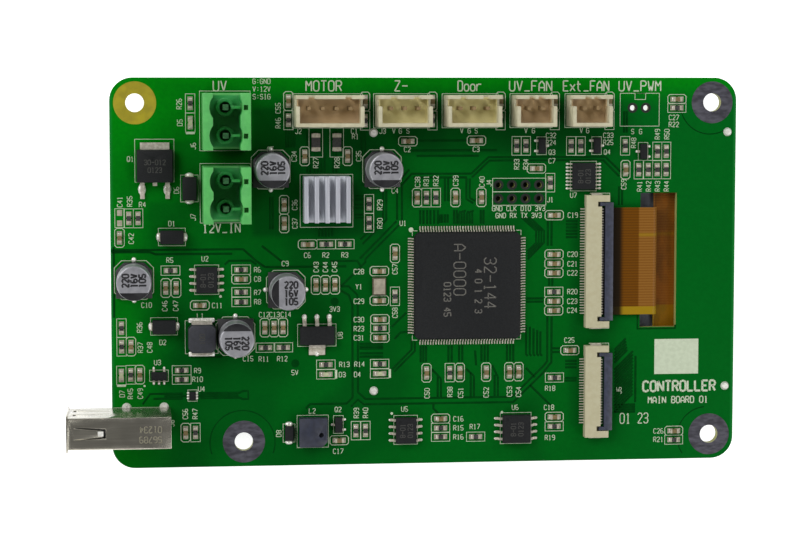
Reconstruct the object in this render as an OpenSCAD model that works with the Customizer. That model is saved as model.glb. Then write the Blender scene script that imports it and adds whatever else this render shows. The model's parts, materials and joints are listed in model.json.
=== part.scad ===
// Control board of a small resin printer. One circuit board carries all its electronics
// on the upper face and a touch display on the back. The display's flex comes up through
// a slot in the board and into the longer of two flip-lock flex connectors.
//
// Frame: origin at the bottom centre of the whole part, on the display's glass. +X runs
// along the board's long side, away from the USB socket, +Y towards the row of wire
// headers, and +Z from the display to the component side.

/* [Board] */
// Length of the board
board_w = 116.3; // [112:0.1:150]
// Width of the board
board_d = 71.6; // [71:0.1:95]
// Thickness of the board
board_t = 1.6; // [1:0.1:2.4]
// Radius of the board's corners
corner_r = 4.2; // [2:0.1:6]
// Diameter of the mounting holes
hole_d = 3.4; // [3:0.1:4.2]
// Distance of the mounting holes from the board's edges
hole_inset = 4.6; // [4.4:0.1:6]
// Distance of the fourth mounting hole, beside the USB socket, from the left edge
inner_hole_inset = 24.1; // [22:0.1:26]
// Outer diameter of the metal pads round the mounting holes
pad_d = 7.8; // [6:0.1:8.4]

/* [Microcontroller] */
// Side of the square plastic body
mcu_body = 20; // [16:0.5:24]
// Height of the plastic body
mcu_h = 1.4; // [1:0.1:2]
// Number of leads on each side
mcu_leads = 36; // [24:1:36]

/* [Flex connectors] */
// Number of contacts of the display's connector
display_ways = 40; // [30:1:44]
// Number of contacts of the spare panel connector
panel_ways = 25; // [16:1:28]
// Height of the connector housings
flex_conn_h = 1.95; // [1.8:0.05:2.4]
// How far the locking bars open, in degrees
lock_travel = 90; // [60:1:95]

/* [Wire headers] */
// Height of the wire headers
wire_h = 7; // [5.5:0.1:9]
// Depth of the wire headers from front to back
wire_d = 5.75; // [5.2:0.05:7]
// Side of the square pins in the wire headers
wire_pin = 0.64; // [0.5:0.01:0.8]

/* [Terminal headers] */
// Height of the two green terminal headers
term_h = 11; // [9:0.1:14]
// Depth of the terminal headers from front to back
term_d = 8.5; // [8:0.1:10]
// Spacing of the pins in the terminal headers
term_pitch = 5.08; // [5:0.01:5.2]

/* [USB socket] */
// Length of the socket
usb_l = 18.65; // [17:0.05:22]
// Height of the socket, which stands on its narrow side
usb_h = 13.1; // [12.5:0.1:15]
// Width of the socket
usb_w = 5.7; // [5.4:0.1:6.8]
// How far the socket's mouth stands out past the board's edge
usb_overhang = 8; // [6:0.1:10]
// Thickness of the socket's sheet steel
usb_sheet = 0.3; // [0.2:0.05:0.4]

/* [Cooling and power] */
// Diameter of the electrolytic capacitors
can_d = 6.3; // [5:0.1:7.4]
// Height of the electrolytic capacitors
can_h = 7.7; // [5:0.1:11]
// Side of the heatsink
sink_w = 8.5; // [7:0.1:10]
// Height of the heatsink
sink_h = 5; // [3.5:0.1:9]

/* [Display] */
// Length of the display
display_w = 69.2; // [60:0.1:69.2]
// Width of the display
display_d = 50; // [46:0.1:50]
// Thickness of the foam tape between the board and the display
foam_t = 0.8; // [0.8:0.1:1.6]
// Thickness of the touch glass
touch_t = 1; // [0.7:0.1:1.4]
// Width of the flex tail that enters the connector
tail_w = 20; // [15.5:0.1:20.4]

/* [Hidden] */
$fn = 48;

// ---- stack of heights, from the glass up ----
tray_sheet = 0.3;
guide_t = 1.15;
cell_t = 1.3;
adhesive_t = 0.2;
display_t = tray_sheet + guide_t + cell_t + adhesive_t + touch_t;
board_z = display_t + foam_t;      // underside of the board
face_z = board_z + board_t;        // component side of the board

// ---- the board's centre and edges ----
board_x = usb_overhang / 2;        // the whole part is centred, and the socket overhangs
left_x = -board_w / 2;
top_y = board_d / 2;
pad_t = 0.05;
hole_x = board_w / 2 - hole_inset;
hole_y = board_d / 2 - hole_inset;
inner_hole_x = inner_hole_inset - board_w / 2;
gold_hole = [-hole_x, hole_y];
tinned_holes = [[hole_x, hole_y], [hole_x, -hole_y], [inner_hole_x, -hole_y]];

// ---- flex connectors: places of their rear faces, and the lock's section ----
flex_pitch = 0.5;
flex_conn_x = 29.5;
display_conn_y = 1.7;
panel_conn_y = -22.65;
housing_depth = 2.95;              // rear face to roof edge
ear_depth = 4.45;                  // rear face to the end of the ears
ear_w = 1.2;
contact_spine_x = 0.7;             // rear face of the contacts' upright part
contact_tail = 0.8;                // how far the contacts' tails stand out of the rear face
roof_t = 0.3;
lock_x = flex_conn_x + 3;          // the lock's hinge axis
lock_z = face_z + flex_conn_h - 0.45;
lock_pin_d = 0.5;
lock_pin_clearance = 0.05;
lock_side_gap = 0.15;
lock_arm_w = 0.6;
lock_plate_near = 0.6;             // from the hinge axis to the plate's rear edge
lock_plate_far = 2.1;              // from the hinge axis to the plate's front edge

// ---- display behind the board, and the slot for its flex ----
display_x = 23.3;
display_y = 1.8;
leg_x = display_w / 2 - 1.35;
leg_y = display_d / 2 - 1.1;
leg_d = 0.9;
leg_hole_d = 1.3;
slot_x0 = 40.1;
slot_x1 = 47;
slot_y0 = -10.8;
slot_y1 = 14.4;
flex_t = 0.2;
flex_drop_x = 43.05;               // where the tail turns down into the slot
flex_apron_w = 28;
tray_gap = 1;                      // room for the flex to fold round the tray's end

// ---- wire headers: name order is motor, z limit, door, lamp fan, case fan ----
wire_pitch = 2.5;
wire_end = 2.45;                   // end pin to the end of the header
wire_wall = 0.7;
wire_floor = 2.3;
wire_pin_y = top_y - 5.6;
wire_rear_y = wire_pin_y - 3.375;  // the headers' rear faces
wire_header_y = wire_rear_y + wire_d / 2;
motor_x = -18.45;
z_limit_x = -4.75;
door_x = 7.95;
lamp_fan_x = 19.35;
case_fan_x = 29.65;
spare_fan_pins_x = 39.7;
wire_headers = [[motor_x, 4], [z_limit_x, 3], [door_x, 3], [lamp_fan_x, 2], [case_fan_x, 2]];
through_pin_below = 1.9;           // how far pins stand out under the board
pin_hole_gap = 0.25;

// ---- terminal headers ----
term_x = -41.45;                   // outer face of their left wall
lamp_term_y = 27.9;
power_term_y = 14.7;
term_pin = 1;
term_pin_x = term_x + 4.1;
term_floor = 2;
term_wall_l = 1.75;
term_wall_r = 1.8;
term_collar_r = 1.6;
term_collar_h = 4.5;

// ---- USB socket ----
usb_y = -27.4;
usb_x = left_x - usb_overhang;     // the socket's mouth
usb_flare = 0.45;
usb_legs_x = [usb_x + 10.65, usb_x + 17.5];
usb_leg = 1;

// ---- programming header footprint ----
prog_x = 17.1;
prog_y = 14.7;
prog_pitch = 2.54;
prog_hole_d = 1;
spare_hole_d = 1.3;

// ---- electrolytic capacitors: x, y, and the turn of the flat end of the base ----
electrolytics = [
    [-28.9, 19, 0], [-8.4, 19, 0], [-53.95, -1.1, 0], [-35.5, -11.6, 180], [-26.2, -3.1, 270]
];

// ---- motor driver and heatsink ----
sink_x = -18.85;
sink_y = 13.6;
driver_w = 5;
driver_h = 0.9;
sink_tape_t = 0.3;
sink_base_t = 1.2;
fin_count = 5;
fin_t = 0.8;

// ---- two-terminal chip parts: [length, width, height] ----
resistor_size = [1.6, 0.8, 0.45];
capacitor_size = [1.6, 0.8, 0.8];
led_size = [1.6, 0.8, 0.6];
sense_resistor_size = [3.2, 1.6, 0.6];

usb_parts_x = left_x + 13.4;       // a capacitor and a resistor inboard of the USB socket
usb_parts_y = -29.35;

// Places are [x, y] from the board's centre. "Upright" parts lie along Y, "level" ones along X.
resistors_upright = [
    // left side of the board
    [-43.5, 31.1], [-54.8, 10.2], [-53.1, 10.2], [-56.3, -9.9], [-56.3, -13.3], [-54.7, -18.5],
    [usb_parts_x + 1.8, usb_parts_y],
    // round the motor driver
    [-25.6, 28], [-10.8, 12.6], [-10.8, 9.1], [-6, -4.55], [-13.3, -29.5], [-11.5, -29.5],
    // above the microcontroller and the fan switches
    [-0.15, 13.7], [1.6, 13.7], [23, 16.35], [16.65, 23.2], [18.4, 23.2], [26.9, 23.15],
    [28.7, 23.15], [37.1, 23.15], [4.25, -18.9],
    // pulls by the display connector
    [39.7, 18.7], [41.5, 18.7], [43.2, 18.7], [44.9, 18.7], [43.2, 22.1], [44.9, 22.1]
];
resistors_level = [
    [-47.3, 0.6], [-34.4, 0.65], [-34.4, -3.5], [-34.4, -5.3], [-45.4, -17.8], [-45.4, -19.5],
    [-18.7, 5.2], [-15.3, 5.2], [-30, -13.8], [-26.7, -13.8], [-18.85, -17.1], [-8.85, -17.1],
    [-8.8, -10.45], [46.85, 30.2], [23.8, -4], [24, -20.1], [24, -29.3], [46.85, -32.2],
    [2.55, -29.25], [2.55, -30.9], [9.15, -31]
];
capacitors_upright = [
    [-56.5, 6.65], [-48.2, -2.6], [-46.3, -2.6], [-54.6, -13.3], [-53.05, -18.5],
    [usb_parts_x, usb_parts_y], [-25.6, 31.5], [-22.65, 21.4], [-14.75, 21.4], [-26.45, 12.5],
    [-26.45, 9.1], [-20.65, -2.3], [-18.9, -2.3], [-17.15, -2.3], [-6, 3.4],
    [-30.1, -10.1], [-28.4, -10.1], [-26.75, -10.1],
    [-1.9, 13.7], [5.25, 13.7], [10.1, 13.7], [37.2, 18.7],
    [-0.1, -18.9], [6.15, -18.9], [11.1, -18.9], [15.45, -18.9], [17.2, -18.9]
];
capacitors_level = [
    [-42, -5.85], [-34.4, -1.1], [-3.6, 24.1], [9.15, 24.2], [-22.15, 5.2], [-8.9, 0.15],
    [-8.9, -5.3], [-8.8, -8.8], [-8.8, -12.2], [-16.4, -31.25], [20.4, 19], [46.85, 31.8],
    [23.8, 10.3], [23.8, 3], [23.8, 1.3], [23.8, -0.45], [23.8, -5.75], [23.8, -7.5],
    [26.9, -15], [24, -27.5], [46.85, -30.5], [2.55, -27.5]
];
// a capacitor over a resistor stands beside each wire header
header_side_gap = 0.75;
header_side_x = [for (h = wire_headers) h[0] + wire_len(h[1]) / 2 + header_side_gap];
header_caps_y = wire_pin_y + 1.2;
header_resistors_y = wire_pin_y - 2.3;
leds_upright = [[-43.5, 27.6], [-56.4, -18.6]];
leds_level = [[-18.85, -18.9], [-8.85, -18.9]];
sense_resistors = [[-20.6, 23.95], [-16.75, 23.95]];

// ---- small chips: [x, y, turn, body length, body width, height, leads a side, pitch, reach] ----
eight_leads = [4.9, 3.9, 1.5, 4, 1.27, 1.1];
small_chips = [
    [[-40.7, -1.15, 180], eight_leads],
    [[-4, -29.5, 0], eight_leads],
    [[16.7, -29.5, 0], [5.3, 5.3, 1.8, 4, 1.27, 1.3]],
    [[29.25, 17.55, 0], [5, 4.4, 1, 8, 0.65, 1]]
];
// ---- three-lead transistors: x, y and the turn that points the single lead to +X ----
transistors = [[21.35, 23.2, 0], [31.7, 23.2, 0], [-16.55, -28.3, 180], [40.5, 22.1, 180]];
driver_sot_x = -49.55;
driver_sot_y = -18.75;
tiny_chip_x = -43.45;
tiny_chip_y = -22.5;

// ---- power diodes: x, y, turn ----
power_diodes = [[-43.75, 15.6, 90], [-47, 6.75, 0], [-48.55, -9.65, 0]];
signal_diode = [-25.7, -29.75, 90];

// ---- functions ----
function wire_len(ways) = (ways - 1) * wire_pitch + 2 * wire_end;
function spread(count, pitch) = [for (i = [0:count - 1]) (i - (count - 1) / 2) * pitch];

// ---- placing helpers ----
// Puts a part on the component side at a place measured from the board's centre
module at(x, y, turn = 0) {
    translate([board_x + x, y, face_z]) rotate(turn) children();
}

module at_each(places, turn = 0) {
    for (p = places) at(p[0], p[1], turn) children();
}

module block(x0, x1, y0, y1, z0, z1) {
    translate([x0, y0, z0]) cube([x1 - x0, y1 - y0, z1 - z0]);
}

// Extrudes an outline drawn in X and Z by w along Y, centred
module across(w) {
    rotate([90, 0, 0]) linear_extrude(w, center = true) children();
}

module rounded_outline(w, d, r) {
    square([w - 2 * r, d], center = true);
    square([w, d - 2 * r], center = true);
    for (x = [-1, 1], y = [-1, 1]) translate([x * (w / 2 - r), y * (d / 2 - r)]) circle(r);
}

// Moulded plastic body, wider at its middle so that it leaves the mould
module moulded(w, d, h, lift = 0.1, draft = 0.08) {
    module side(span) {
        polygon([
            [-span / 2 + draft, 0], [-span / 2, h / 2], [-span / 2 + draft, h],
            [span / 2 - draft, h], [span / 2, h / 2], [span / 2 - draft, 0]
        ]);
    }
    translate([0, 0, lift]) intersection() {
        across(d) side(w);
        rotate(90) across(w) side(d);
    }
}

// One bent lead that leaves a body at height drop and ends in a foot on the board
module gull_lead(reach, drop, w, t = 0.15, foot = 0.5) {
    knee = reach - foot;
    across(w) polygon([
        [0, drop], [knee / 2, drop], [knee, t], [reach, t],
        [reach, 0], [knee - t / 2, 0], [knee / 2 - t / 2, drop - t], [0, drop - t]
    ]);
}

module lead_rows(body_w, count, pitch, reach, drop, w, sides = [0, 180], t = 0.15, foot = 0.5) {
    for (side = sides, y = spread(count, pitch)) {
        rotate(side) translate([body_w / 2, y, 0]) gull_lead(reach, drop, w, t, foot);
    }
}

// ---- board ----
module board_holes() {
    translate([0, 0, -1]) linear_extrude(board_t + 2) {
        for (p = concat([gold_hole], tinned_holes)) translate(p) circle(d = hole_d);
        for (h = wire_headers, x = spread(h[1], wire_pitch)) {
            translate([h[0] + x, wire_pin_y]) circle(d = wire_pin * sqrt(2) + pin_hole_gap);
        }
        for (x = spread(2, wire_pitch)) {
            translate([spare_fan_pins_x + x, wire_pin_y]) circle(d = spare_hole_d);
        }
        for (y = [lamp_term_y, power_term_y], dy = spread(2, term_pitch)) {
            translate([term_pin_x, y + dy]) circle(d = term_pin * sqrt(2) + pin_hole_gap);
        }
        for (x = usb_legs_x, side = [-1, 1]) {
            translate([x, usb_y + side * (usb_w - usb_sheet) / 2]) circle(d = usb_leg + 0.4);
        }
        for (i = [0:3]) translate([usb_contact_x(i), usb_contact_y]) circle(d = 0.8);
        for (x = [-1, 1], y = [-1, 1]) {
            translate([display_x + x * leg_x, display_y + y * leg_y]) circle(d = leg_hole_d);
        }
        for (x = spread(4, prog_pitch), y = spread(2, prog_pitch)) {
            translate([prog_x + x, prog_y + y]) circle(d = prog_hole_d);
        }
        translate([slot_x0, slot_y0]) square([slot_x1 - slot_x0, slot_y1 - slot_y0]);
    }
}

module circuit_board() {
    color("green") translate([board_x, 0, board_z]) difference() {
        linear_extrude(board_t) rounded_outline(board_w, board_d, corner_r);
        board_holes();
    }
}

// Pads on both faces of the board, round one mounting hole
module pad_pair(p) {
    for (z = [board_z - pad_t, face_z]) {
        translate([board_x + p[0], p[1], z]) difference() {
            cylinder(d = pad_d, h = pad_t);
            translate([0, 0, -1]) cylinder(d = hole_d, h = 2 + pad_t);
        }
    }
}

module gold_mounting_pad() {
    color("goldenrod") pad_pair(gold_hole);
}

module tinned_mounting_pads() {
    color("slategray") for (p = tinned_holes) pad_pair(p);
}

// ---- microcontroller ----
mcu_x = 7.4;
mcu_y = -2.6;
mcu_lift = 0.1;
mcu_pitch = 0.5;
mcu_draft = 0.25;
mcu_corner_cut = 0.9;
dimple_depth = 0.1;

mcu_cut_w = (mcu_body - mcu_corner_cut) * sqrt(2);

module microcontroller_body() {
    color("#202122") at(mcu_x, mcu_y) difference() {
        intersection() {
            moulded(mcu_body, mcu_body, mcu_h, mcu_lift, mcu_draft);
            rotate(45) cube([mcu_cut_w, mcu_cut_w, 10], center = true);
        }
        translate([2.4 - mcu_body / 2, mcu_body / 2 - 2.3, mcu_lift + mcu_h - dimple_depth]) {
            cylinder(d = 1, h = 1);
        }
    }
}

module microcontroller_leads() {
    drop = mcu_lift + mcu_h / 2 + 0.06;
    color("silver") at(mcu_x, mcu_y) {
        lead_rows(mcu_body, mcu_leads, mcu_pitch, 1, drop, 0.22, [0, 90, 180, 270], 0.12, 0.55);
    }
}

// ---- flex connectors, drawn with the rear face at x = 0 and the contacts' middle at y = 0 ----
module at_flex_connector(y) {
    at(flex_conn_x, y) children();
}

function contact_span(ways) = (ways + 1) * flex_pitch;
function lock_half(ways) = contact_span(ways) / 2 + lock_arm_w + 0.15;
function ear_half(ways) = lock_half(ways) + lock_side_gap + ear_w;

module flex_housing(ways) {
    inner = contact_span(ways) / 2;
    axis_x = lock_x - flex_conn_x;
    axis_z = lock_z - face_z;
    half = ear_half(ways);
    color("#cfc9a8") difference() {
        union() {
            block(0, housing_depth, -half, half, 0, flex_conn_h);
            for (side = [-1, 1]) {
                translate([0, side * (half - ear_w / 2), flex_conn_h / 2]) {
                    translate([ear_depth / 2, 0, 0]) cube([ear_depth, ear_w, flex_conn_h], center = true);
                }
            }
        }
        // room for the flex and the contacts, open at the front
        block(0.5, ear_depth, -inner, inner, 0.15, flex_conn_h - roof_t);
        // the contacts' tails leave under the rear wall
        block(-1, contact_spine_x + 0.05, -inner, inner, -1, 0.3);
        // recesses for the lock's arms, and bores for its pins
        for (side = [-1, 1]) {
            recess = (inner + lock_half(ways) + lock_side_gap) / 2;
            translate([axis_x + 1.2, side * recess, flex_conn_h / 2 + 0.2]) {
                cube([4, lock_half(ways) + lock_side_gap - inner, flex_conn_h], center = true);
            }
        }
        translate([axis_x, 0, axis_z]) rotate([90, 0, 0]) {
            cylinder(d = lock_pin_d + 2 * lock_pin_clearance, h = 2 * half - 0.8, center = true);
        }
    }
}

// A fork that grips the flex, with its tail on the board
module flex_contacts(ways) {
    top = flex_conn_h - roof_t - 0.05;
    color("#c9c4b0") for (y = spread(ways, flex_pitch)) {
        translate([0, y, 0]) across(0.2) polygon([
            [-contact_tail, 0], [contact_spine_x, 0], [contact_spine_x + 0.1, 0.25], [2.6, 0.3],
            [2.6, 0.45], [1.1, 0.5], [1.1, top - 0.3], [3.3, top - 0.35], [3.4, top - 0.2],
            [3.3, top - 0.1], [contact_spine_x, top], [contact_spine_x, 0.15], [-contact_tail, 0.15]
        ]);
    }
}

module flex_anchors(ways) {
    half = ear_half(ways);
    color("#b9b6a6") for (side = [-1, 1]) {
        translate([2.2, side * (half + 0.1), 0]) {
            translate([0, 0, 0.5]) cube([2, 0.2, 1], center = true);
            translate([0, side * 0.15, 0.1]) cube([2, 0.2, 0.2], center = true);
        }
    }
}

// The lock: a bar over the flex, an arm at each end, and a pin on each arm
module flex_lock(ways) {
    half = lock_half(ways);
    axis_x = lock_x - flex_conn_x;
    axis_z = lock_z - face_z;
    bar_top = flex_conn_h - axis_z + 0.05;
    color("#33363f") translate([axis_x, 0, axis_z]) {
        block(lock_plate_near, lock_plate_far, -half, half, -0.4, bar_top);
        for (side = [-1, 1]) {
            translate([0, side * (half - lock_arm_w / 2), 0]) {
                block(-0.35, lock_plate_near, -lock_arm_w / 2, lock_arm_w / 2, -0.35, 0.4);
            }
            translate([0, side * (half + 0.3), 0]) rotate([90, 0, 0]) {
                cylinder(d = lock_pin_d, h = 0.6, center = true);
            }
        }
    }
}

module display_connector_housing() { at_flex_connector(display_conn_y) flex_housing(display_ways); }
module display_connector_contacts() { at_flex_connector(display_conn_y) flex_contacts(display_ways); }
module display_connector_anchors() { at_flex_connector(display_conn_y) flex_anchors(display_ways); }
module display_connector_lock() { at_flex_connector(display_conn_y) flex_lock(display_ways); }
module panel_connector_housing() { at_flex_connector(panel_conn_y) flex_housing(panel_ways); }
module panel_connector_contacts() { at_flex_connector(panel_conn_y) flex_contacts(panel_ways); }
module panel_connector_anchors() { at_flex_connector(panel_conn_y) flex_anchors(panel_ways); }
module panel_connector_lock() { at_flex_connector(panel_conn_y) flex_lock(panel_ways); }

// ---- display, drawn from its glass up ----
tray_w = display_w - tray_gap;
cell_z = touch_t + adhesive_t;
guide_z = cell_z + cell_t;
tray_top = guide_z + guide_t + tray_sheet;
bezel = 2.2;

module at_display(z = 0) {
    translate([board_x + display_x, display_y, z]) children();
}

// The tray stops short of the display's right end
module at_tray(z = 0) {
    at_display(z) translate([-tray_gap / 2, 0, 0]) children();
}

module display_tray() {
    color("#3a3f48") at_tray(cell_z) {
        difference() {
            translate([-tray_w / 2, -display_d / 2, 0]) {
                cube([tray_w, display_d, tray_top - cell_z]);
            }
            translate([-tray_w / 2 + tray_sheet, -display_d / 2 + tray_sheet, -1]) {
                cube([tray_w, display_d - 2 * tray_sheet, tray_top - cell_z + 1 - tray_sheet]);
            }
        }
    }
    // legs through the board, one at each corner
    color("#3a3f48") for (x = [-1, 1], y = [-1, 1]) {
        at_display(tray_top) translate([x * leg_x, y * leg_y, 0]) {
            cylinder(d = leg_d, h = foam_t + board_t + 0.3);
        }
    }
}

module display_light_guide() {
    color("whitesmoke") at_tray(guide_z) {
        translate([-tray_w / 2 + tray_sheet, -display_d / 2 + tray_sheet, 0]) {
            cube([tray_w - 3 - tray_sheet, display_d - 2 * tray_sheet, guide_t]);
        }
    }
}

module display_backlight_leds() {
    color("#f0e7a0") at_tray(guide_z) for (y = spread(6, 7)) {
        translate([tray_w / 2 - 2.9, y - 1.9, 0.1]) cube([0.9, 3.8, guide_t - 0.2]);
    }
}

module display_cell() {
    color("#15181c") at_tray(cell_z) {
        translate([-tray_w / 2 + tray_sheet, -display_d / 2 + tray_sheet, 0]) {
            cube([tray_w + tray_gap - tray_sheet - 0.2, display_d - 2 * tray_sheet, cell_t]);
        }
    }
}

module display_touch_adhesive() {
    color("#101114") at_display(touch_t) linear_extrude(adhesive_t) difference() {
        square([display_w - 1, display_d - 1], center = true);
        square([display_w - 1 - 2 * bezel, display_d - 1 - 2 * bezel], center = true);
    }
}

module display_touch_glass() {
    color("#20252b") at_display() linear_extrude(touch_t) {
        rounded_outline(display_w, display_d, 0.6);
    }
}

module display_foam_tape() {
    strip_d = 4.5;
    color("#1c1d20") for (y = [display_d / 2 - 6.5, -display_d / 2 + 6.5]) {
        at_display(tray_top) translate([-display_w / 2 + 3, y - strip_d / 2, 0]) {
            cube([display_w - 7, strip_d, foam_t]);
        }
    }
}

// Bent strip: a quarter ring in the plane of the outline
module quarter_ring(r, t, turn) {
    rotate(turn) intersection() {
        difference() {
            circle(r + t / 2);
            circle(r - t / 2);
        }
        square(r + t);
    }
}

// The flex leaves the connector level, turns down through the slot, runs along the back
// of the tray and folds round the tray's end on to the display's cell
tail_z = face_z + 0.85;
apron_z = tray_top + 0.35;
flex_bend = 0.7;
flex_end_x = display_x + display_w / 2 - tray_gap + 0.05;
fold_bend = 0.5;

module display_flex() {
    half = flex_t / 2;
    color("#8a5a1c") translate([board_x, 0, 0]) {
        translate([0, display_conn_y, 0]) across(tail_w) {
            translate([flex_conn_x + 1.3, tail_z - half]) {
                square([flex_drop_x - flex_bend - flex_conn_x - 1.3, flex_t]);
            }
            translate([flex_drop_x - flex_bend, tail_z - flex_bend]) {
                quarter_ring(flex_bend, flex_t, 0);
            }
            translate([flex_drop_x - half, board_z]) {
                square([flex_t, tail_z - flex_bend - board_z]);
            }
        }
        translate([0, display_conn_y, 0]) across(flex_apron_w) {
            translate([flex_drop_x - half, apron_z + 0.3]) {
                square([flex_t, board_z - apron_z - 0.3]);
            }
            translate([flex_drop_x + 0.3, apron_z + 0.3]) quarter_ring(0.3, flex_t, 180);
            translate([flex_drop_x + 0.3, apron_z - half]) {
                square([flex_end_x - fold_bend - flex_drop_x + 0.1, flex_t]);
            }
            translate([flex_end_x - fold_bend + 0.4, apron_z - fold_bend]) {
                quarter_ring(fold_bend, flex_t, 0);
            }
            translate([flex_end_x + 0.4 - half, guide_z]) {
                square([flex_t, apron_z - fold_bend - guide_z]);
            }
        }
    }
}

// ---- wire headers ----
module wire_header(x, ways) {
    len = wire_len(ways);
    key_w = 1.2;
    color("#cdc4a8") at(x, wire_header_y) difference() {
        translate([-len / 2, -wire_d / 2, 0]) cube([len, wire_d, wire_h]);
        translate([-len / 2 + wire_wall, -wire_d / 2 + wire_wall, wire_floor]) {
            cube([len - 2 * wire_wall, wire_d - 2 * wire_wall, wire_h]);
        }
        // key slots near both ends of the front wall
        for (side = [-1, 1]) {
            translate([side * (len / 2 - wire_end - 0.4) - key_w / 2, 0, wire_floor]) {
                cube([key_w, wire_d, wire_h]);
            }
        }
        // and one in each end wall
        translate([-len, wire_d / 2 - wire_wall - 1.3, wire_floor + 1]) cube([2 * len, 1.3, wire_h]);
        for (px = spread(ways, wire_pitch)) {
            translate([px, wire_pin_y - wire_header_y, 1]) {
                cube([wire_pin, wire_pin, 4], center = true);
            }
        }
    }
}

module motor_header() { wire_header(motor_x, 4); }
module z_limit_header() { wire_header(z_limit_x, 3); }
module door_header() { wire_header(door_x, 3); }
module lamp_fan_header() { wire_header(lamp_fan_x, 2); }
module case_fan_header() { wire_header(case_fan_x, 2); }

module wire_header_pins() {
    low = -board_t - through_pin_below;
    high = wire_h - 1.4;
    color("silver") for (h = wire_headers, x = spread(h[1], wire_pitch)) {
        at(h[0] + x, wire_pin_y) translate([-wire_pin / 2, -wire_pin / 2, low]) {
            cube([wire_pin, wire_pin, high - low]);
        }
    }
}

// ---- terminal headers ----
module terminal_header(y) {
    len = 2 * term_pitch;
    pin_u = term_pin_x - term_x;
    right_u = term_d - term_wall_r;
    color("#5fbf63") at(term_x, y) difference() {
        union() {
            difference() {
                translate([0, -len / 2, 0]) cube([term_d, len, term_h]);
                block(term_wall_l, right_u, -len, len, term_floor, term_h + 1);
                // the left wall is scalloped round each plug
                for (dy = spread(2, term_pitch)) {
                    translate([pin_u, dy, term_floor]) cylinder(r = 3, h = term_h);
                }
            }
            for (dy = spread(2, term_pitch)) translate([pin_u, dy, 0]) {
                cylinder(r = term_collar_r, h = term_collar_h);
                block(0, right_u - pin_u, -0.25, 0.25, 0, term_h - 4);
            }
        }
        for (dy = spread(2, term_pitch)) {
            translate([pin_u, dy, term_floor]) cylinder(r = term_pin, h = term_h);
            translate([pin_u, dy, 1]) cube([term_pin, term_pin, 4], center = true);
            translate([term_d - term_wall_r / 2 - 0.4, dy - 0.45, term_h - 1.2]) cube([0.8, 0.9, 2]);
        }
    }
}

module lamp_header() { terminal_header(lamp_term_y); }
module power_header() { terminal_header(power_term_y); }

module terminal_header_pins() {
    low = -board_t - through_pin_below;
    high = term_h - 3;
    color("silver") for (y = [lamp_term_y, power_term_y], dy = spread(2, term_pitch)) {
        at(term_pin_x, y + dy) translate([-term_pin / 2, -term_pin / 2, low]) {
            cube([term_pin, term_pin, high - low]);
        }
    }
}

// ---- USB socket, standing on its narrow side; x runs from the mouth, y from the middle ----
tongue_t = 1.9;
usb_contact_t = 0.3;
usb_contact_y = usb_y + tongue_t / 2 + usb_contact_t / 2;
usb_contact_heights = [3.05, 5.55, 7.55, 10.05];
function usb_contact_x(i) = usb_x + usb_l - 5.2 + 1.3 * i;

module at_usb() {
    at(usb_x, usb_y) children();
}

// The slots beside a spring finger that narrows from its root to its tip, and the gap that
// frees the tip
module finger_slots(root, tip, gap_end) {
    root_half = 1.15;
    tip_half = 0.55;
    slot = 0.3;
    for (side = [-1, 1]) polygon([
        [root, side * root_half], [gap_end, side * (tip_half + slot)],
        [gap_end, side * tip_half], [root, side * (root_half - slot / 2)]
    ]);
    translate([min(tip, gap_end), -tip_half - slot]) {
        square([abs(gap_end - tip), 2 * (tip_half + slot)]);
    }
}

module usb_shell() {
    inner_w = usb_w - 2 * usb_sheet;
    color("#8b8a86") at_usb() {
        difference() {
            union() {
                block(0, usb_l, -usb_w / 2, usb_w / 2, 0, usb_h);
                // lips that guide the plug in, on the three sides clear of the board
                block(0, usb_sheet, -usb_w / 2 - usb_flare, usb_w / 2 + usb_flare, 0, usb_h + usb_flare);
            }
            block(-1, usb_l - usb_sheet, -inner_w / 2, inner_w / 2, usb_sheet, usb_h - usb_sheet);
            // one spring finger in the narrow upper side, its free end inwards
            translate([0, 0, usb_h - 1]) linear_extrude(2) finger_slots(1.45, 6.4, 7);
            // and two in each wide side, their free ends at the mouth
            for (z = [usb_h / 2 - 2.6, usb_h / 2 + 2.6]) translate([0, 0, z]) {
                across(usb_w + 2) finger_slots(7.4, 1.6, 1.1);
            }
            // the contacts leave downwards at the rear
            for (i = [0:3]) {
                translate([usb_contact_x(i) - usb_x, tongue_t / 2 + usb_contact_t / 2, 0]) {
                    cube([0.9, 0.8, 2], center = true);
                }
            }
        }
        for (x = usb_legs_x, side = [-1, 1]) {
            translate([x - usb_x, side * (usb_w - usb_sheet) / 2, -1.3]) {
                cube([usb_leg, usb_sheet, 2.6], center = true);
            }
        }
    }
}

module usb_insulator() {
    wall = (usb_w - 2 * usb_sheet) / 2;
    color("#1a1a1c") at_usb() {
        block(1.6, usb_l - usb_sheet, -tongue_t / 2, tongue_t / 2, usb_sheet + 0.7, usb_h - usb_sheet - 0.7);
        block(usb_l - 9, usb_l - usb_sheet, -wall, tongue_t / 2, usb_sheet, usb_h - usb_sheet);
    }
}

module usb_contacts() {
    low = -board_t - 1.2;
    color("gold") at_usb() translate([0, tongue_t / 2 + usb_contact_t / 2, 0]) for (i = [0:3]) {
        rear = usb_contact_x(i) - usb_x;
        z = usb_contact_heights[i];
        across(usb_contact_t) polygon([
            [2.2, z - 0.5], [rear - 0.25, z - 0.5], [rear - 0.25, low],
            [rear + 0.25, low], [rear + 0.25, z + 0.5], [2.2, z + 0.5]
        ]);
    }
}

// ---- electrolytic capacitors, drawn with the negative mark towards -Y ----
can_base_w = can_d + 0.3;
can_base_t = 0.9;

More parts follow.
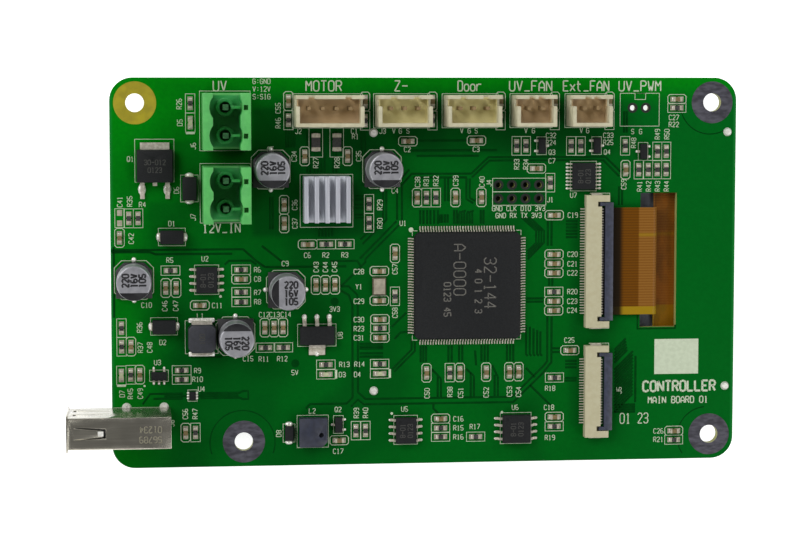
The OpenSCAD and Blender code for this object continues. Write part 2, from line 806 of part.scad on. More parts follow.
module electrolytic_cans() {
    r = can_d / 2;
    edge = 0.35;
    neck_z = can_base_t + 1.1;
    neck = 0.3;
    color("silver") for (c = electrolytics) at(c[0], c[1], c[2]) rotate_extrude() {
        difference() {
            translate([0, can_base_t]) square([r, can_h - can_base_t]);
            // rounded upper edge
            translate([r - edge, can_h - edge]) difference() {
                square(edge + 1);
                circle(edge);
            }
            // rolled neck above the base
            translate([r + 0.1, neck_z]) circle(neck);
        }
    }
}

module electrolytic_bases() {
    half = can_base_w / 2;
    cut = 1.5;
    color("#17181a") for (c = electrolytics) at(c[0], c[1], c[2]) {
        translate([0, 0, 0.1]) linear_extrude(can_base_t - 0.1) polygon([
            [-half, -half], [half, -half], [half, half - cut],
            [half - cut, half], [cut - half, half], [-half, half - cut]
        ]);
    }
}

module electrolytic_leads() {
    color("silver") for (c = electrolytics, side = [-1, 1]) at(c[0], c[1], c[2]) {
        translate([-0.35, side > 0 ? 1 : -can_base_w / 2 - 0.65, 0]) {
            cube([0.7, can_base_w / 2 - 0.35, 0.1]);
        }
    }
}

// ---- motor driver under its heatsink ----
module motor_driver_chip() {
    color("#202122") at(sink_x, sink_y) {
        translate([-driver_w / 2, -driver_w / 2, 0]) cube([driver_w, driver_w, driver_h]);
    }
}

module heatsink_tape() {
    color("#d8d8dc") at(sink_x, sink_y) translate([-driver_w / 2, -driver_w / 2, driver_h]) {
        cube([driver_w, driver_w, sink_tape_t]);
    }
}

module heatsink() {
    fin_pitch = (sink_w - fin_t) / (fin_count - 1);
    color("silver") at(sink_x, sink_y) translate([0, 0, driver_h + sink_tape_t]) {
        translate([-sink_w / 2, -sink_w / 2, 0]) cube([sink_w, sink_w, sink_base_t]);
        for (x = spread(fin_count, fin_pitch)) {
            translate([x - fin_t / 2, -sink_w / 2, 0]) {
                cube([fin_t, sink_w, sink_h - driver_h - sink_tape_t]);
            }
        }
    }
}

// ---- lamp switch transistor: a flat power package, tab towards +Y ----
lamp_fet_x = -50;
lamp_fet_y = 19.75;
lamp_fet_w = 6.6;
lamp_fet_d = 6;
lamp_fet_h = 2.3;
lamp_tab_t = 0.5;

module lamp_transistor_body() {
    color("#242526") at(lamp_fet_x, lamp_fet_y) difference() {
        moulded(lamp_fet_w, lamp_fet_d, lamp_fet_h - 0.05, 0.05, 0.12);
        block(-2.7, 2.7, -1, lamp_fet_d, -1, lamp_tab_t);
        translate([0, 1.2, lamp_fet_h - 0.12]) cylinder(d = 1, h = 1);
    }
}

module lamp_transistor_metal() {
    color("#b4b4b0") at(lamp_fet_x, lamp_fet_y) {
        block(-2.65, 2.65, -0.9, lamp_fet_d / 2 + 1.25, 0, lamp_tab_t);
        for (x = [-2.28, 2.28]) translate([x, -lamp_fet_d / 2, 0]) rotate(-90) {
            gull_lead(3, 1.2, 0.8, 0.5, 1.3);
        }
        translate([0, -lamp_fet_d / 2, 0.7]) rotate(-90) block(0, 0.6, -0.4, 0.4, 0, 0.5);
    }
}

// ---- 3.3 V regulator: three leads towards +Y, one wide tab towards -Y ----
regulator_x = -20.5;
regulator_y = -11.6;
regulator_d = 3.5;

module regulator_body() {
    color("#202122") at(regulator_x, regulator_y) moulded(6.5, regulator_d, 1.6, 0.05);
}

module regulator_leads() {
    color("silver") at(regulator_x, regulator_y) {
        for (x = spread(3, 2.3)) translate([x, regulator_d / 2, 0]) rotate(90) {
            gull_lead(1.9, 1, 0.7, 0.25, 0.9);
        }
        translate([0, -regulator_d / 2, 0]) rotate(-90) gull_lead(1.9, 1, 3, 0.25, 0.9);
    }
}

// ---- small chips ----
module small_chip_bodies() {
    color("#202122") for (c = small_chips) {
        len = c[1][0];
        w = c[1][1];
        h = c[1][2];
        at(c[0][0], c[0][1], c[0][2]) difference() {
            moulded(w, len, h - 0.1);
            translate([0.8 - w / 2, len / 2 - 0.8, h - 0.1]) cylinder(d = 0.6, h = 1);
        }
    }
    color("#202122") at(tiny_chip_x, tiny_chip_y) moulded(1.2, 1.6, 0.55, 0.02, 0.04);
    color("#202122") at(driver_sot_x, driver_sot_y) moulded(2.9, 1.6, 1.1, 0.05);
}

module small_chip_leads() {
    color("silver") for (c = small_chips) {
        lead_w = c[1][4] * 0.36;
        at(c[0][0], c[0][1], c[0][2]) {
            lead_rows(c[1][1], c[1][3], c[1][4], c[1][5], c[1][2] / 2 + 0.1, lead_w, [0, 180], 0.2);
        }
    }
    color("silver") at(tiny_chip_x, tiny_chip_y) {
        lead_rows(1.2, 3, 0.5, 0.3, 0.3, 0.22, [0, 180], 0.1, 0.2);
    }
    // five leads: two towards +Y and three towards -Y
    color("silver") at(driver_sot_x, driver_sot_y) {
        for (x = spread(2, 1.9)) translate([x, 0.8, 0]) rotate(90) gull_lead(0.75, 0.65, 0.4, 0.15, 0.4);
        for (x = spread(3, 0.95)) translate([x, -0.8, 0]) rotate(-90) gull_lead(0.75, 0.65, 0.4, 0.15, 0.4);
    }
}

// ---- small transistors, drawn with the single lead towards +X ----
sot_w = 1.4;
sot_l = 2.9;

module small_transistor_bodies() {
    color("#202122") for (t = transistors) at(t[0], t[1], t[2]) moulded(sot_w, sot_l, 1, 0.05);
}

module small_transistor_leads() {
    color("silver") for (t = transistors) at(t[0], t[1], t[2]) {
        lead_rows(sot_w, 1, 1, 0.6, 0.6, 0.42, [0], 0.15, 0.35);
        lead_rows(sot_w, 2, 1.9, 0.6, 0.6, 0.42, [180], 0.15, 0.35);
    }
}

// ---- diodes ----
diode_l = 4.3;
diode_w = 2.6;
diode_h = 2.1;

module diode_bodies() {
    color("#1d1d1f") for (d = power_diodes) at(d[0], d[1], d[2]) moulded(diode_l, diode_w, diode_h - 0.1);
    color("#1d1d1f") at(signal_diode[0], signal_diode[1], signal_diode[2]) moulded(2.8, 1.6, 1.1, 0.05);
}

module diode_leads() {
    color("silver") for (d = power_diodes) at(d[0], d[1], d[2]) {
        lead_rows(diode_l, 1, 1, 0.5, 1.1, 1.5, [0, 180], 0.2, 0.3);
    }
    color("silver") at(signal_diode[0], signal_diode[1], signal_diode[2]) {
        lead_rows(2.8, 1, 1, 0.5, 0.6, 0.9, [0, 180], 0.15, 0.3);
    }
}

// ---- power inductor, buzzer and crystal ----
module inductor_core() {
    color("#26272b") at(-41.7, -11.7) translate([0, 0, 0.1]) linear_extrude(3.9) difference() {
        square([5, 5.1], center = true);
        for (x = [-1, 1], y = [-1, 1]) translate([x * 2.5, y * 2.55]) rotate(45) square(1, center = true);
    }
}

module inductor_terminals() {
    color("silver") for (side = [-1, 1]) at(-41.7, -11.7 + side * 2.8) {
        translate([-1.85, -0.25, 0]) cube([3.7, 0.5, 2.6]);
    }
}

module buzzer() {
    color("#23252d") at(-21.3, -29.5) difference() {
        linear_extrude(2.2) polygon([
            [-2.6, -2.7], [1.6, -2.7], [2.6, -1.7], [2.6, 2.7], [-2.6, 2.7]
        ]);
        translate([1.45, -0.45, 1.2]) cylinder(d = 0.9, h = 2);
    }
}

module crystal_base() {
    color("#8d8672") at(-8.95, -2.65) translate([-1.25, -1.6, 0]) cube([2.5, 3.2, 0.4]);
}

module crystal_lid() {
    color("silver") at(-8.95, -2.65) translate([-1.05, -1.4, 0.4]) cube([2.1, 2.8, 0.4]);
}

// ---- two-terminal chip parts, drawn along X ----
cap_share = 0.22;                  // share of the part's length covered by each end cap
body_inset = 0.02;                 // the body is this much smaller than its end caps

module chip_body(size) {
    len = size[0] * (1 - 2 * cap_share);
    translate([-len / 2, body_inset - size[1] / 2, body_inset]) {
        cube([len, size[1] - 2 * body_inset, size[2] - 2 * body_inset]);
    }
}

module chip_caps(size) {
    cap = size[0] * cap_share;
    for (x = [-size[0] / 2, size[0] / 2 - cap]) translate([x, -size[1] / 2, 0]) {
        cube([cap, size[1], size[2]]);
    }
}

module resistor_places() {
    at_each(resistors_upright, 90) children();
    at_each(resistors_level) children();
    for (x = header_side_x) at(x, header_resistors_y, 90) children();
}

module capacitor_places() {
    at_each(capacitors_upright, 90) children();
    at_each(capacitors_level) children();
    for (x = header_side_x) at(x, header_caps_y, 90) children();
}

module led_places() {
    at_each(leds_upright, 90) children();
    at_each(leds_level) children();
}

module resistor_bodies() {
    color("#2b2c30") {
        resistor_places() chip_body(resistor_size);
        at_each(sense_resistors, 90) chip_body(sense_resistor_size);
    }
}

module ceramic_capacitor_bodies() {
    color("#8d7434") capacitor_places() chip_body(capacitor_size);
}

module indicator_leds() {
    color("#d7d8b8") led_places() chip_body(led_size);
}

module chip_part_end_caps() {
    color("silver") {
        resistor_places() chip_caps(resistor_size);
        at_each(sense_resistors, 90) chip_caps(sense_resistor_size);
        capacitor_places() chip_caps(capacitor_size);
        led_places() chip_caps(led_size);
    }
}

// ---- solder: a cone round each pin under the board, and a dome on each display leg ----
module solder_cone(x, y, r, h, pin) {
    translate([board_x + x, y, board_z]) difference() {
        rotate([180, 0, 0]) cylinder(r1 = r, r2 = pin * 0.75 + 0.1, h = h);
        cube([pin, pin, 4 * h], center = true);
    }
}

module solder_joints() {
    dome_r = 0.8;
    color("#a9a9ae") {
        for (h = wire_headers, x = spread(h[1], wire_pitch)) {
            solder_cone(h[0] + x, wire_pin_y, 0.95, 1, wire_pin);
        }
        for (y = [lamp_term_y, power_term_y], dy = spread(2, term_pitch)) {
            solder_cone(term_pin_x, y + dy, 1.5, 1.2, term_pin);
        }
        for (x = [-1, 1], y = [-1, 1]) {
            at(display_x + x * leg_x, display_y + y * leg_y) difference() {
                cylinder(r1 = dome_r, r2 = 0.55, h = 0.45);
                translate([0, 0, -1]) cylinder(d = leg_d, h = 1.3);
            }
        }
        // beads on the socket's legs, on the upper face of the board
        for (x = usb_legs_x) at(x, usb_y + usb_w / 2) difference() {
            cylinder(r1 = 0.85, r2 = 0.6, h = 0.4);
            translate([-1, -2, -1]) cube([2, 2, 2]);
        }
    }
}

circuit_board();
gold_mounting_pad();
tinned_mounting_pads();
microcontroller_body();
microcontroller_leads();
display_connector_housing();
display_connector_contacts();
display_connector_anchors();
display_connector_lock();
panel_connector_housing();
panel_connector_contacts();
panel_connector_anchors();
panel_connector_lock();
display_tray();
display_light_guide();
display_backlight_leds();
display_cell();
display_touch_adhesive();
display_touch_glass();
display_flex();
display_foam_tape();
motor_header();
z_limit_header();
door_header();
lamp_fan_header();
case_fan_header();
wire_header_pins();
lamp_header();
power_header();
terminal_header_pins();
usb_shell();
usb_insulator();
usb_contacts();
electrolytic_cans();
electrolytic_bases();
electrolytic_leads();
heatsink();
heatsink_tape();
motor_driver_chip();
lamp_transistor_body();
lamp_transistor_metal();
regulator_body();
regulator_leads();
small_chip_bodies();
small_chip_leads();
small_transistor_bodies();
small_transistor_leads();
diode_bodies();
diode_leads();
inductor_core();
inductor_terminals();
buzzer();
crystal_base();
crystal_lid();
resistor_bodies();
ceramic_capacitor_bodies();
indicator_leds();
chip_part_end_caps();
solder_joints();
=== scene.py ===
import json
import math

import bpy
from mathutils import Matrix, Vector

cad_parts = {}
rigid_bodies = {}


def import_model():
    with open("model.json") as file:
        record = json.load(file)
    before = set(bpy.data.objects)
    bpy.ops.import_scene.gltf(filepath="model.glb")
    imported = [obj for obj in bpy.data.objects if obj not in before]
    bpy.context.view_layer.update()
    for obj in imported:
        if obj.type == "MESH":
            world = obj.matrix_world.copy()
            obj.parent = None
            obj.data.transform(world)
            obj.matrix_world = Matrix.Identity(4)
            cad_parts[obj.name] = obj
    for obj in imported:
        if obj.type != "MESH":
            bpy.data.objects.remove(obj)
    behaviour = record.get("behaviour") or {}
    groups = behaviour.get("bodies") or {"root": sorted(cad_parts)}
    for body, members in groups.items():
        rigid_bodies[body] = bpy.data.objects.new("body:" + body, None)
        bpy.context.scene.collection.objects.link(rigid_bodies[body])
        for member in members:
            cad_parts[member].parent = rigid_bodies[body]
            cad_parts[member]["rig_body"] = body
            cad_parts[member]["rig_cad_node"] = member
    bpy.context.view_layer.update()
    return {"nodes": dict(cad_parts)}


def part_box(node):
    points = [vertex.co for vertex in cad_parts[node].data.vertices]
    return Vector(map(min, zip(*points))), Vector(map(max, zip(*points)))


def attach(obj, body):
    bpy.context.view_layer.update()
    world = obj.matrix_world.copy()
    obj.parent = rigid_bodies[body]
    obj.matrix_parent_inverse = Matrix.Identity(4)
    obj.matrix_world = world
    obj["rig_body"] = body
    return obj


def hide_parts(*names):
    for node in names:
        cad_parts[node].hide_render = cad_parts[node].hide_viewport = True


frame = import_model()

bl_info = {
    "name": "Resin printer control board",
    "version": (1, 0, 0),
    "blender": (4, 5, 0),
    "location": "View3D > Sidebar > Board",
    "description": "Builds the finished surfaces of a small resin printer's control board",
    "category": "Object",
}

MM = 0.001
BOARD_LOW, BOARD_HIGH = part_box("circuit_board")
CENTRE = (BOARD_LOW + BOARD_HIGH) / 2
FACE_Z = BOARD_HIGH.z
HALF_W = (BOARD_HIGH.x - BOARD_LOW.x) / 2 / MM
HALF_D = (BOARD_HIGH.y - BOARD_LOW.y) / 2 / MM
ROOT = "board"
# Each wire header with the painted shade tint of its cavity, and the terminal headers
WIRE_HEADERS = {"motor_header": "#b59a70", "z_limit_header": "#d0c68c", "door_header": "#d0c68c",
                "lamp_fan_header": "#b59a70", "case_fan_header": "#b59a70"}
TERMINAL_HEADERS = ("lamp_header", "power_header")


# ---------------------------------------------------------------- colours and nodes

def rgba(hex_colour):
    """An sRGB hex colour as linear red, green, blue and alpha."""
    parts = [int(hex_colour[i:i + 2], 16) / 255 for i in (1, 3, 5)]
    return (*(c / 12.92 if c <= 0.04045 else ((c + 0.055) / 1.055) ** 2.4 for c in parts), 1.0)


def shade(colour, red, green, blue):
    """A linear colour with its three parts multiplied."""
    return (colour[0] * red, colour[1] * green, colour[2] * blue, 1.0)


class Finish:
    """One material on its way: its nodes, its shader and the object coordinates they read."""

    def __init__(self, name, **constants):
        self.material = bpy.data.materials.new(name)
        self.material.use_nodes = True
        self.tree = self.material.node_tree
        self.shader = self.tree.nodes["Principled BSDF"]
        for socket, value in constants.items():
            self.shader.inputs[socket.replace("_", " ")].default_value = value
        self.place = self.add("TexCoord", out="Object")

    def add(self, kind, inputs=None, out=0, **settings):
        """Adds a node with its settings and links, and gives back one of its outputs."""
        made = self.tree.nodes.new("ShaderNode" + kind)
        for key, value in settings.items():
            setattr(made, key, value)
        for socket, value in (inputs or {}).items():
            if isinstance(value, bpy.types.NodeSocket):
                self.tree.links.new(value, made.inputs[socket])
            else:
                made.inputs[socket].default_value = value
        return made.outputs[out]

    def cloud(self, grain_mm, detail=2.0, stretch=(1, 1, 1), span=None, low=0.0, high=1.0):
        """Cloudy noise, its grains about grain_mm across, with a span spread over low..high."""
        moved = self.add("Mapping", {"Vector": self.place, "Scale": stretch})
        made = self.add("TexNoise", {
            "Vector": moved, "Scale": 1 / (grain_mm * MM), "Detail": detail})
        if span is None:
            return made
        return self.add("MapRange", {
            "Value": made, "From Min": span[0], "From Max": span[1], "To Min": low,
            "To Max": high}, interpolation_type="SMOOTHSTEP")

    def along(self, axis, start, end, low=0.0, high=1.0):
        """A soft step from low to high, start..end being millimetres from the board's middle
        or above its face."""
        zero = {"X": CENTRE.x, "Y": CENTRE.y, "Z": FACE_Z}[axis]
        return self.add("MapRange", {
            "Value": self.add("SeparateXYZ", {"Vector": self.place}, axis),
            "From Min": zero + start * MM, "From Max": zero + end * MM, "To Min": low,
            "To Max": high}, interpolation_type="SMOOTHSTEP")

    def waves(self, axis, pitch_mm):
        """A sine wave along an axis."""
        turns = self.add("Math", {
            0: self.add("SeparateXYZ", {"Vector": self.place}, axis), 1: math.tau / (pitch_mm * MM)},
            operation="MULTIPLY")
        return self.add("Math", {0: turns}, operation="SINE")

    def layers(self, base, *over):
        """Lays each colour over the last, by its factor."""
        for factor, colour in over:
            base = self.add("Mix", {0: factor, 6: base, 7: colour}, 2, data_type="RGBA")
        return base

    def done(self, colour, roughness=None, height=None, depth_mm=0.0, strength=1.0):
        """Links the patterns to the shader and gives back the material."""
        links = {"Base Color": colour, "Roughness": roughness}
        if height is not None:
            links["Normal"] = self.add("Bump", {
                "Height": height, "Distance": depth_mm * MM, "Strength": strength})
        for socket, value in links.items():
            if value is not None:
                self.tree.links.new(value, self.shader.inputs[socket])
        return self.material


# ---------------------------------------------------------------- materials

SOFT = (0.3, 0.7)       # part of the noise that most finishes spread between their two tones

# Board areas with little copper, the first, round the wire headers, darkened partly by painted
# shade: x and y from its centre in millimetres, and how dark
BARE_AND_SHADED_AREAS = [(-25, 35.5, 21, 33.4, 0.55), (-33, -7, 6, 31, 0.6), (-53, -32, 16.5, 25, 0.35),
                 (-52, -40, 9, 14, 0.3), (26, 35, -30, 12, 0.35), (11.6, 22.8, 11.6, 17.8, 0.9)]
ZONE_EDGE = 1.5         # width of those areas' soft edges, in millimetres
GLOW_RIM = 0.7               # width of the painted glow rims at the board's sides, in millimetres
CLOTH_PITCH = 0.5       # spacing of the glass threads, in millimetres


def make_solder_mask():
    """Green epoxy solder mask, sprayed glossy over copper and glass cloth: a deep green with painted
    light glowing near the left and upper edges and in pale rims at the left and right, and
    straw-coloured cut glass fibre at its sides."""
    f = Finish("green_solder_mask", Specular_IOR_Level=0.03)
    mask = settings().mask_colour[:]
    # painted light: a glow along the left and upper edges, laid over the mask as a paler, yellower
    # green
    edge = f.add("Math", {0: f.along("X", -HALF_W, 44 - HALF_W, 1, 0),
                          1: f.along("Y", -6, HALF_D, 0, 0.8)}, operation="MULTIPLY")
    for side in (f.along("X", -HALF_W, 14 - HALF_W, 0.45, 0),
                 f.along("Y", HALF_D - 6, HALF_D, 0, 0.75)):
        edge = f.add("Math", {0: edge, 1: side}, operation="MAXIMUM")
    # painted light: pale glowing rims along the left and right edges
    left_glow_rim = f.along("X", -HALF_W, GLOW_RIM - HALF_W, 0.9, 0)
    right_glow_rim = f.along("X", HALF_W - GLOW_RIM, HALF_W, 0, 0.9)
    rim_glow_green = rgba("#1a7030")
    tone = f.layers(shade(mask, 1, 0.77, 0.86), (f.cloud(13, 1.0, span=(0.4, 0.6)), mask),
                    (f.along("X", 25, 45), shade(mask, 1, 1.08, 1.23)),
                    (edge, shade(mask, 2, 2.31, 0.28)), (left_glow_rim, rim_glow_green),
                    (right_glow_rim, rim_glow_green))
    # where copper is missing below the mask the board is darker; round the wire headers the
    # darkening is partly painted shade
    for x0, x1, y0, y1, part in BARE_AND_SHADED_AREAS:
        zone = part
        for side in (("X", x0, x0 + ZONE_EDGE), ("X", x1, x1 - ZONE_EDGE),
                     ("Y", y0, y0 + ZONE_EDGE), ("Y", y1, y1 - ZONE_EDGE)):
            zone = f.add("Math", {0: zone, 1: f.along(*side)}, operation="MULTIPLY")
        tone = f.layers(tone, (zone, shade(mask, 1, 0.47, 0.73)))
    tone = f.layers(tone, (f.cloud(0.6, span=SOFT, high=0.15), shade(mask, 1, 0.5, 0.67)))
    # the sides, where the normal lies level, show the cut laminate
    upward = f.add("SeparateXYZ", {"Vector": f.add("NewGeometry", out="Normal")}, "Z")
    steep = f.add("Math", {0: upward}, operation="ABSOLUTE")
    flat = f.add("MapRange", {"Value": steep, "From Min": 0.4, "From Max": 0.6},
                 interpolation_type="SMOOTHSTEP")
    # glass cloth shows faintly through the mask
    weave = f.add("Math", {0: f.waves("X", CLOTH_PITCH), 1: f.waves("Y", CLOTH_PITCH)},
                  operation="MULTIPLY")
    return f.done(f.layers(rgba("#8f9058"), (flat, tone)),
                  f.cloud(2.5, span=(0, 1), low=0.3, high=0.42), weave, 0.004, 0.35)


def make_housing(node, name, shell, grain, cavity_shade_tint, margin_x, margin_y, floor_mm, rim_mm):
    """Moulded housing whose plastic passes light: its cavity has a painted shade tint, deeper in
    colour towards the floor, floor_mm above the board, and plain within rim_mm of that height."""
    f = Finish(name)
    low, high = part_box(node)
    cavity_shade_mask = f.along("Z", floor_mm, rim_mm, 1, 0)
    for axis, a, b, margin in (("X", low.x, high.x, margin_x), ("Y", low.y, high.y, margin_y)):
        place = f.add("SeparateXYZ", {"Vector": f.place}, axis)
        off = f.add("Math", {0: place, 1: (a + b) / 2}, operation="SUBTRACT")
        size = f.add("Math", {0: off}, operation="ABSOLUTE")
        inside = f.add("Math", {0: size, 1: (b - a) / 2 - margin * MM}, operation="LESS_THAN")
        cavity_shade_mask = f.add("Math", {0: cavity_shade_mask, 1: inside}, operation="MULTIPLY")
    colour = f.layers(shell, (f.cloud(1.5, 3.0, span=SOFT), grain),
                      (cavity_shade_mask, rgba(cavity_shade_tint)))
    return f.done(colour, f.cloud(5.0, span=(0, 1), low=0.42, high=0.55), f.cloud(1.5, 3.0), 0.006)


def make_plain(name, light, dark, grain_mm, metallic=0.0, rough=(0.4, 0.55), bump_mm=0.0,
               stretch=(1, 1, 1), **constants):
    """A finish of one colour with real variation: cloudy tone, uneven gloss and a fine surface."""
    f = Finish(name, Metallic=metallic, **constants)
    return f.done(f.layers(light, (f.cloud(grain_mm, 3.0, stretch, SOFT), dark)),
                  f.cloud(grain_mm * 3, 2.0, stretch, SOFT, *rough),
                  f.cloud(grain_mm, 3.0, stretch) if bump_mm else None, bump_mm)


def make_flex_film():
    """Amber polyimide film over etched copper: conductors 0.5 mm apart show as fine stripes, and
    bare film along one edge is a clear yellow."""
    f = Finish("polyimide_flex", Roughness=0.35, Specular_IOR_Level=0.15)
    stripes = f.add("MapRange", {"Value": f.waves("Y", 0.5), "From Min": -0.5, "From Max": 0.5},
                    interpolation_type="SMOOTHSTEP")
    step = f.along("X", 39.5, 39.8)
    over_slot = f.layers(rgba("#6f4614"), (stripes, rgba("#7d5420")))
    tail = f.layers(rgba("#553000"), (stripes, rgba("#613900")), (step, over_slot))
    # bare film where no conductor runs: a strip along the lower edge, and one thin line
    bare = step
    for side in (f.along("Y", 6.1, 6.5, 0, 0.55), f.along("Y", 6.7, 7.1, 1, 0)):
        bare = f.add("Math", {0: bare, 1: side}, operation="MULTIPLY")
    bare = f.add("Math", {0: f.along("Y", -6.9, -6.7, 1, 0), 1: bare}, operation="MAXIMUM")
    # painted shadow of the lock bar across the film beside it
    lock_shadow = f.along("X", 35.9, 37.0, 0.95, 0)
    tail = f.layers(tail, (bare, rgba("#876c0c")), (lock_shadow, rgba("#100c03")))
    # the apron in the slot has no fine stripes and lies lower
    apron = f.layers(rgba("#7a3f00"), (f.cloud(3.5, 3.0, (1, 0.5, 1), (0.4, 0.62)),
                                       rgba("#462100")))
    low = f.along("Z", -2.6, -1.2, 1, 0)
    return f.done(f.layers(tail, (low, apron)), None, stripes, 0.01, 0.4)


def make_usb_steel():
    """Tin plated sheet steel, folded: grey with faint drawing lines along its length."""
    f = Finish("tinned_sheet_steel", Metallic=0.9)
    lines = (0.25, 2.0, (0.04, 1, 1))
    sheet = f.layers(rgba("#aeaa9d"), (f.cloud(3.0, 3.0), rgba("#9e9a8d")))
    return f.done(f.layers(sheet, (f.cloud(*lines, SOFT), rgba("#b6b2a5"))),
                  f.cloud(3.0, 3.0, span=SOFT, low=0.16, high=0.24), f.cloud(*lines), 0.0015, 0.3)


def make_moulded_epoxy():
    """Black moulded epoxy with silica filler: matt, faintly warm, with a spark-eroded grain."""
    f = Finish("moulded_epoxy", Specular_IOR_Level=0.12)
    return f.done(f.layers(rgba("#161718"), (f.cloud(0.18, span=(0.25, 0.75)), rgba("#1f2021"))),
                  f.cloud(4.0, span=(0, 1), low=0.5, high=0.62), f.cloud(0.18), 0.012, 0.6)


def make_sink_aluminium():
    """Extruded aluminium: die lines along the fins, and painted light that keeps the valleys
    brighter than the upper parts of the fins."""
    f = Finish("extruded_aluminium", Metallic=0.4)
    lines = (0.3, 2.0, (1, 0.03, 1))
    foot = (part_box("heatsink")[0].z - FACE_Z) / MM
    # painted light: lighter towards the valley floors, up to 1.5 to 3 mm above the foot
    colour = f.layers(rgba("#b3b5bc"), (f.cloud(*lines, SOFT), rgba("#a2a4ac")),
                      (f.along("Z", foot + 1.5, foot + 3.0, 1, 0), rgba("#bfc2c9")))
    return f.done(colour, f.cloud(*lines, (0, 1), 0.38, 0.55), f.cloud(*lines), 0.01, 0.6)


def make_floor():
    """White acrylic sheet lit from below as well as above."""
    f = Finish("white_acrylic_floor", Roughness=0.8, Emission_Color=rgba("#ffffff"),
               Emission_Strength=0.8)
    return f.done(f.layers(rgba("#d8d8d8"), (f.cloud(60), rgba("#d2d2d2"))))


# Name of the real finish, its two tones, grain in millimetres, metallic, roughness range, depth of
# its surface in millimetres and how its grain is stretched
PLAIN_FINISHES = {
    # matt tin over copper alloy
    "tin": ("tinned_leads", "#dcd6c8", "#bdb6a6", 0.5, 0.6, (0.34, 0.46), 0.004),
    # reflowed solder: bright, with a slightly grainy skin
    "solder": ("bright_solder", "#f4f3ec", "#dcdad2", 0.4, 0.45, (0.24, 0.4), 0.01),
    # the thin solder under a part and the plating at its end are duller
    "land": ("solder_land", "#b4af9e", "#97917f", 0.4, 0.4, (0.3, 0.45), 0.01),
    "end_cap": ("plated_end_cap", "#bdb7a6", "#9d9785", 0.4, 0.4, (0.35, 0.5), 0.01),
    # immersion gold over copper, seen a little tarnished
    "gold": ("gold_plate", "#998c06", "#877b06", 1.8, 0.1, (0.5, 0.6), 0.003),
    # hot-air levelled tin on the mounting pads, dull and uneven
    "pad_tin": ("levelled_tin", "#4f4e57", "#323138", 0.6, 0.4, (0.4, 0.55), 0.02, (0.4, 1, 1)),
    # glass filled nylon: cream and matt, or near black
    "cream": ("cream_glass_nylon", "#a7a285", "#a29c7e", 0.8, 0.0, (0.5, 0.62), 0.006),
    "dark_nylon": ("dark_nylon", "#34384a", "#262a36", 0.7, 0.0, (0.38, 0.5), 0.004),
    # aluminium can in a clear lacquer, its end facing up
    "can": ("lacquered_can", "#95959a", "#86868b", 1.2, 0.35, (0.3, 0.42), 0.002),
    # ink on the cans, stamped steel, and laser marks fresh and worn: all matt
    "print_black": ("black_print", "#17171a", "#0f0f12", 0.8, 0.0, (0.35, 0.5)),
    "faint_mark": ("stamped_mark", "#8a8674", "#7c7868", 0.4, 0.6, (0.5, 0.6)),
    "print_grey": ("laser_mark", "#5f5d56", "#4c4a45", 0.4, 0.0, (0.6, 0.75)),
    "soft_mark": ("worn_laser_mark", "#33332f", "#2a2a27", 0.4, 0.0, (0.6, 0.75)),
    # phenolic, ferrite under lacquer and moulded plastic: near black, each with its own grain
    "black_plastic": ("black_phenolic", "#141416", "#0c0c0e", 0.8, 0.0, (0.4, 0.55), 0.006),
    "ferrite": ("coated_ferrite", "#22242c", "#1a1c22", 0.5, 0.0, (0.5, 0.65), 0.015),
    "buzzer": ("buzzer_plastic", "#252938", "#1e212d", 0.8, 0.0, (0.42, 0.55), 0.006),
    # fired ceramics: tan under a crystal, black glaze on resistors, brown in capacitors
    "ceramic": ("fired_ceramic", "#5f5642", "#4c4536", 0.5, 0.0, (0.55, 0.7), 0.01),
    "glaze": ("black_glaze", "#3a3a37", "#2a2a28", 0.3, 0.0, (0.25, 0.4)),
    "capacitor": ("barium_titanate", "#6f5f38", "#5b4e2e", 0.5, 0.0, (0.45, 0.6), 0.006),
    # clear resin over the lamps' pale phosphor, smooth
    "lens": ("led_resin", "#a9ac8c", "#989b7c", 0.5, 0.0, (0.25, 0.4)),
    # blackened steel tray, seen at the slot
    "tray": ("blackened_steel", "#5a5e66", "#4a4e56", 1.5, 0.3, (0.4, 0.55), 0.004),
    # the display: dark glass with a sharp shine, soft foam and a clear white guide
    "glass": ("display_glass", "#101318", "#14181e", 20, 0.0, (0.08, 0.14)),
    "foam": ("closed_cell_foam", "#1b1c1f", "#26272b", 0.3, 0.0, (0.85, 0.95), 0.03),
    "guide": ("acrylic_light_guide", "#dfe4e4", "#cfd6d6", 6, 0.0, (0.15, 0.25)),
    # filled silicone tape, matt
    "tape": ("thermal_tape", "#c4c4c9", "#b2b2b8", 0.6, 0.0, (0.7, 0.85), 0.006),
    # tin seen deep in a housing, painted dull with the shade and tint of the cavity round it
    "pins": ("shaded_pins", "#86704c", "#745f3e", 0.5, 0.2, (0.5, 0.6)),
    "well_pins": ("green_shaded_pins", "#2b6a38", "#1d4f29", 0.5, 0.1, (0.45, 0.6)),
    # holes left empty: tin gone dull and dark
    "dull_ring": ("dull_tin_ring", "#0e1610", "#090e0a", 0.4, 0.2, (0.4, 0.55)),
    # plated lid of the crystal, a warm grey
    "lid": ("gilded_lid", "#a9a08e", "#938b7b", 0.8, 0.4, (0.35, 0.5), 0.004),
}
MATERIALS = {}


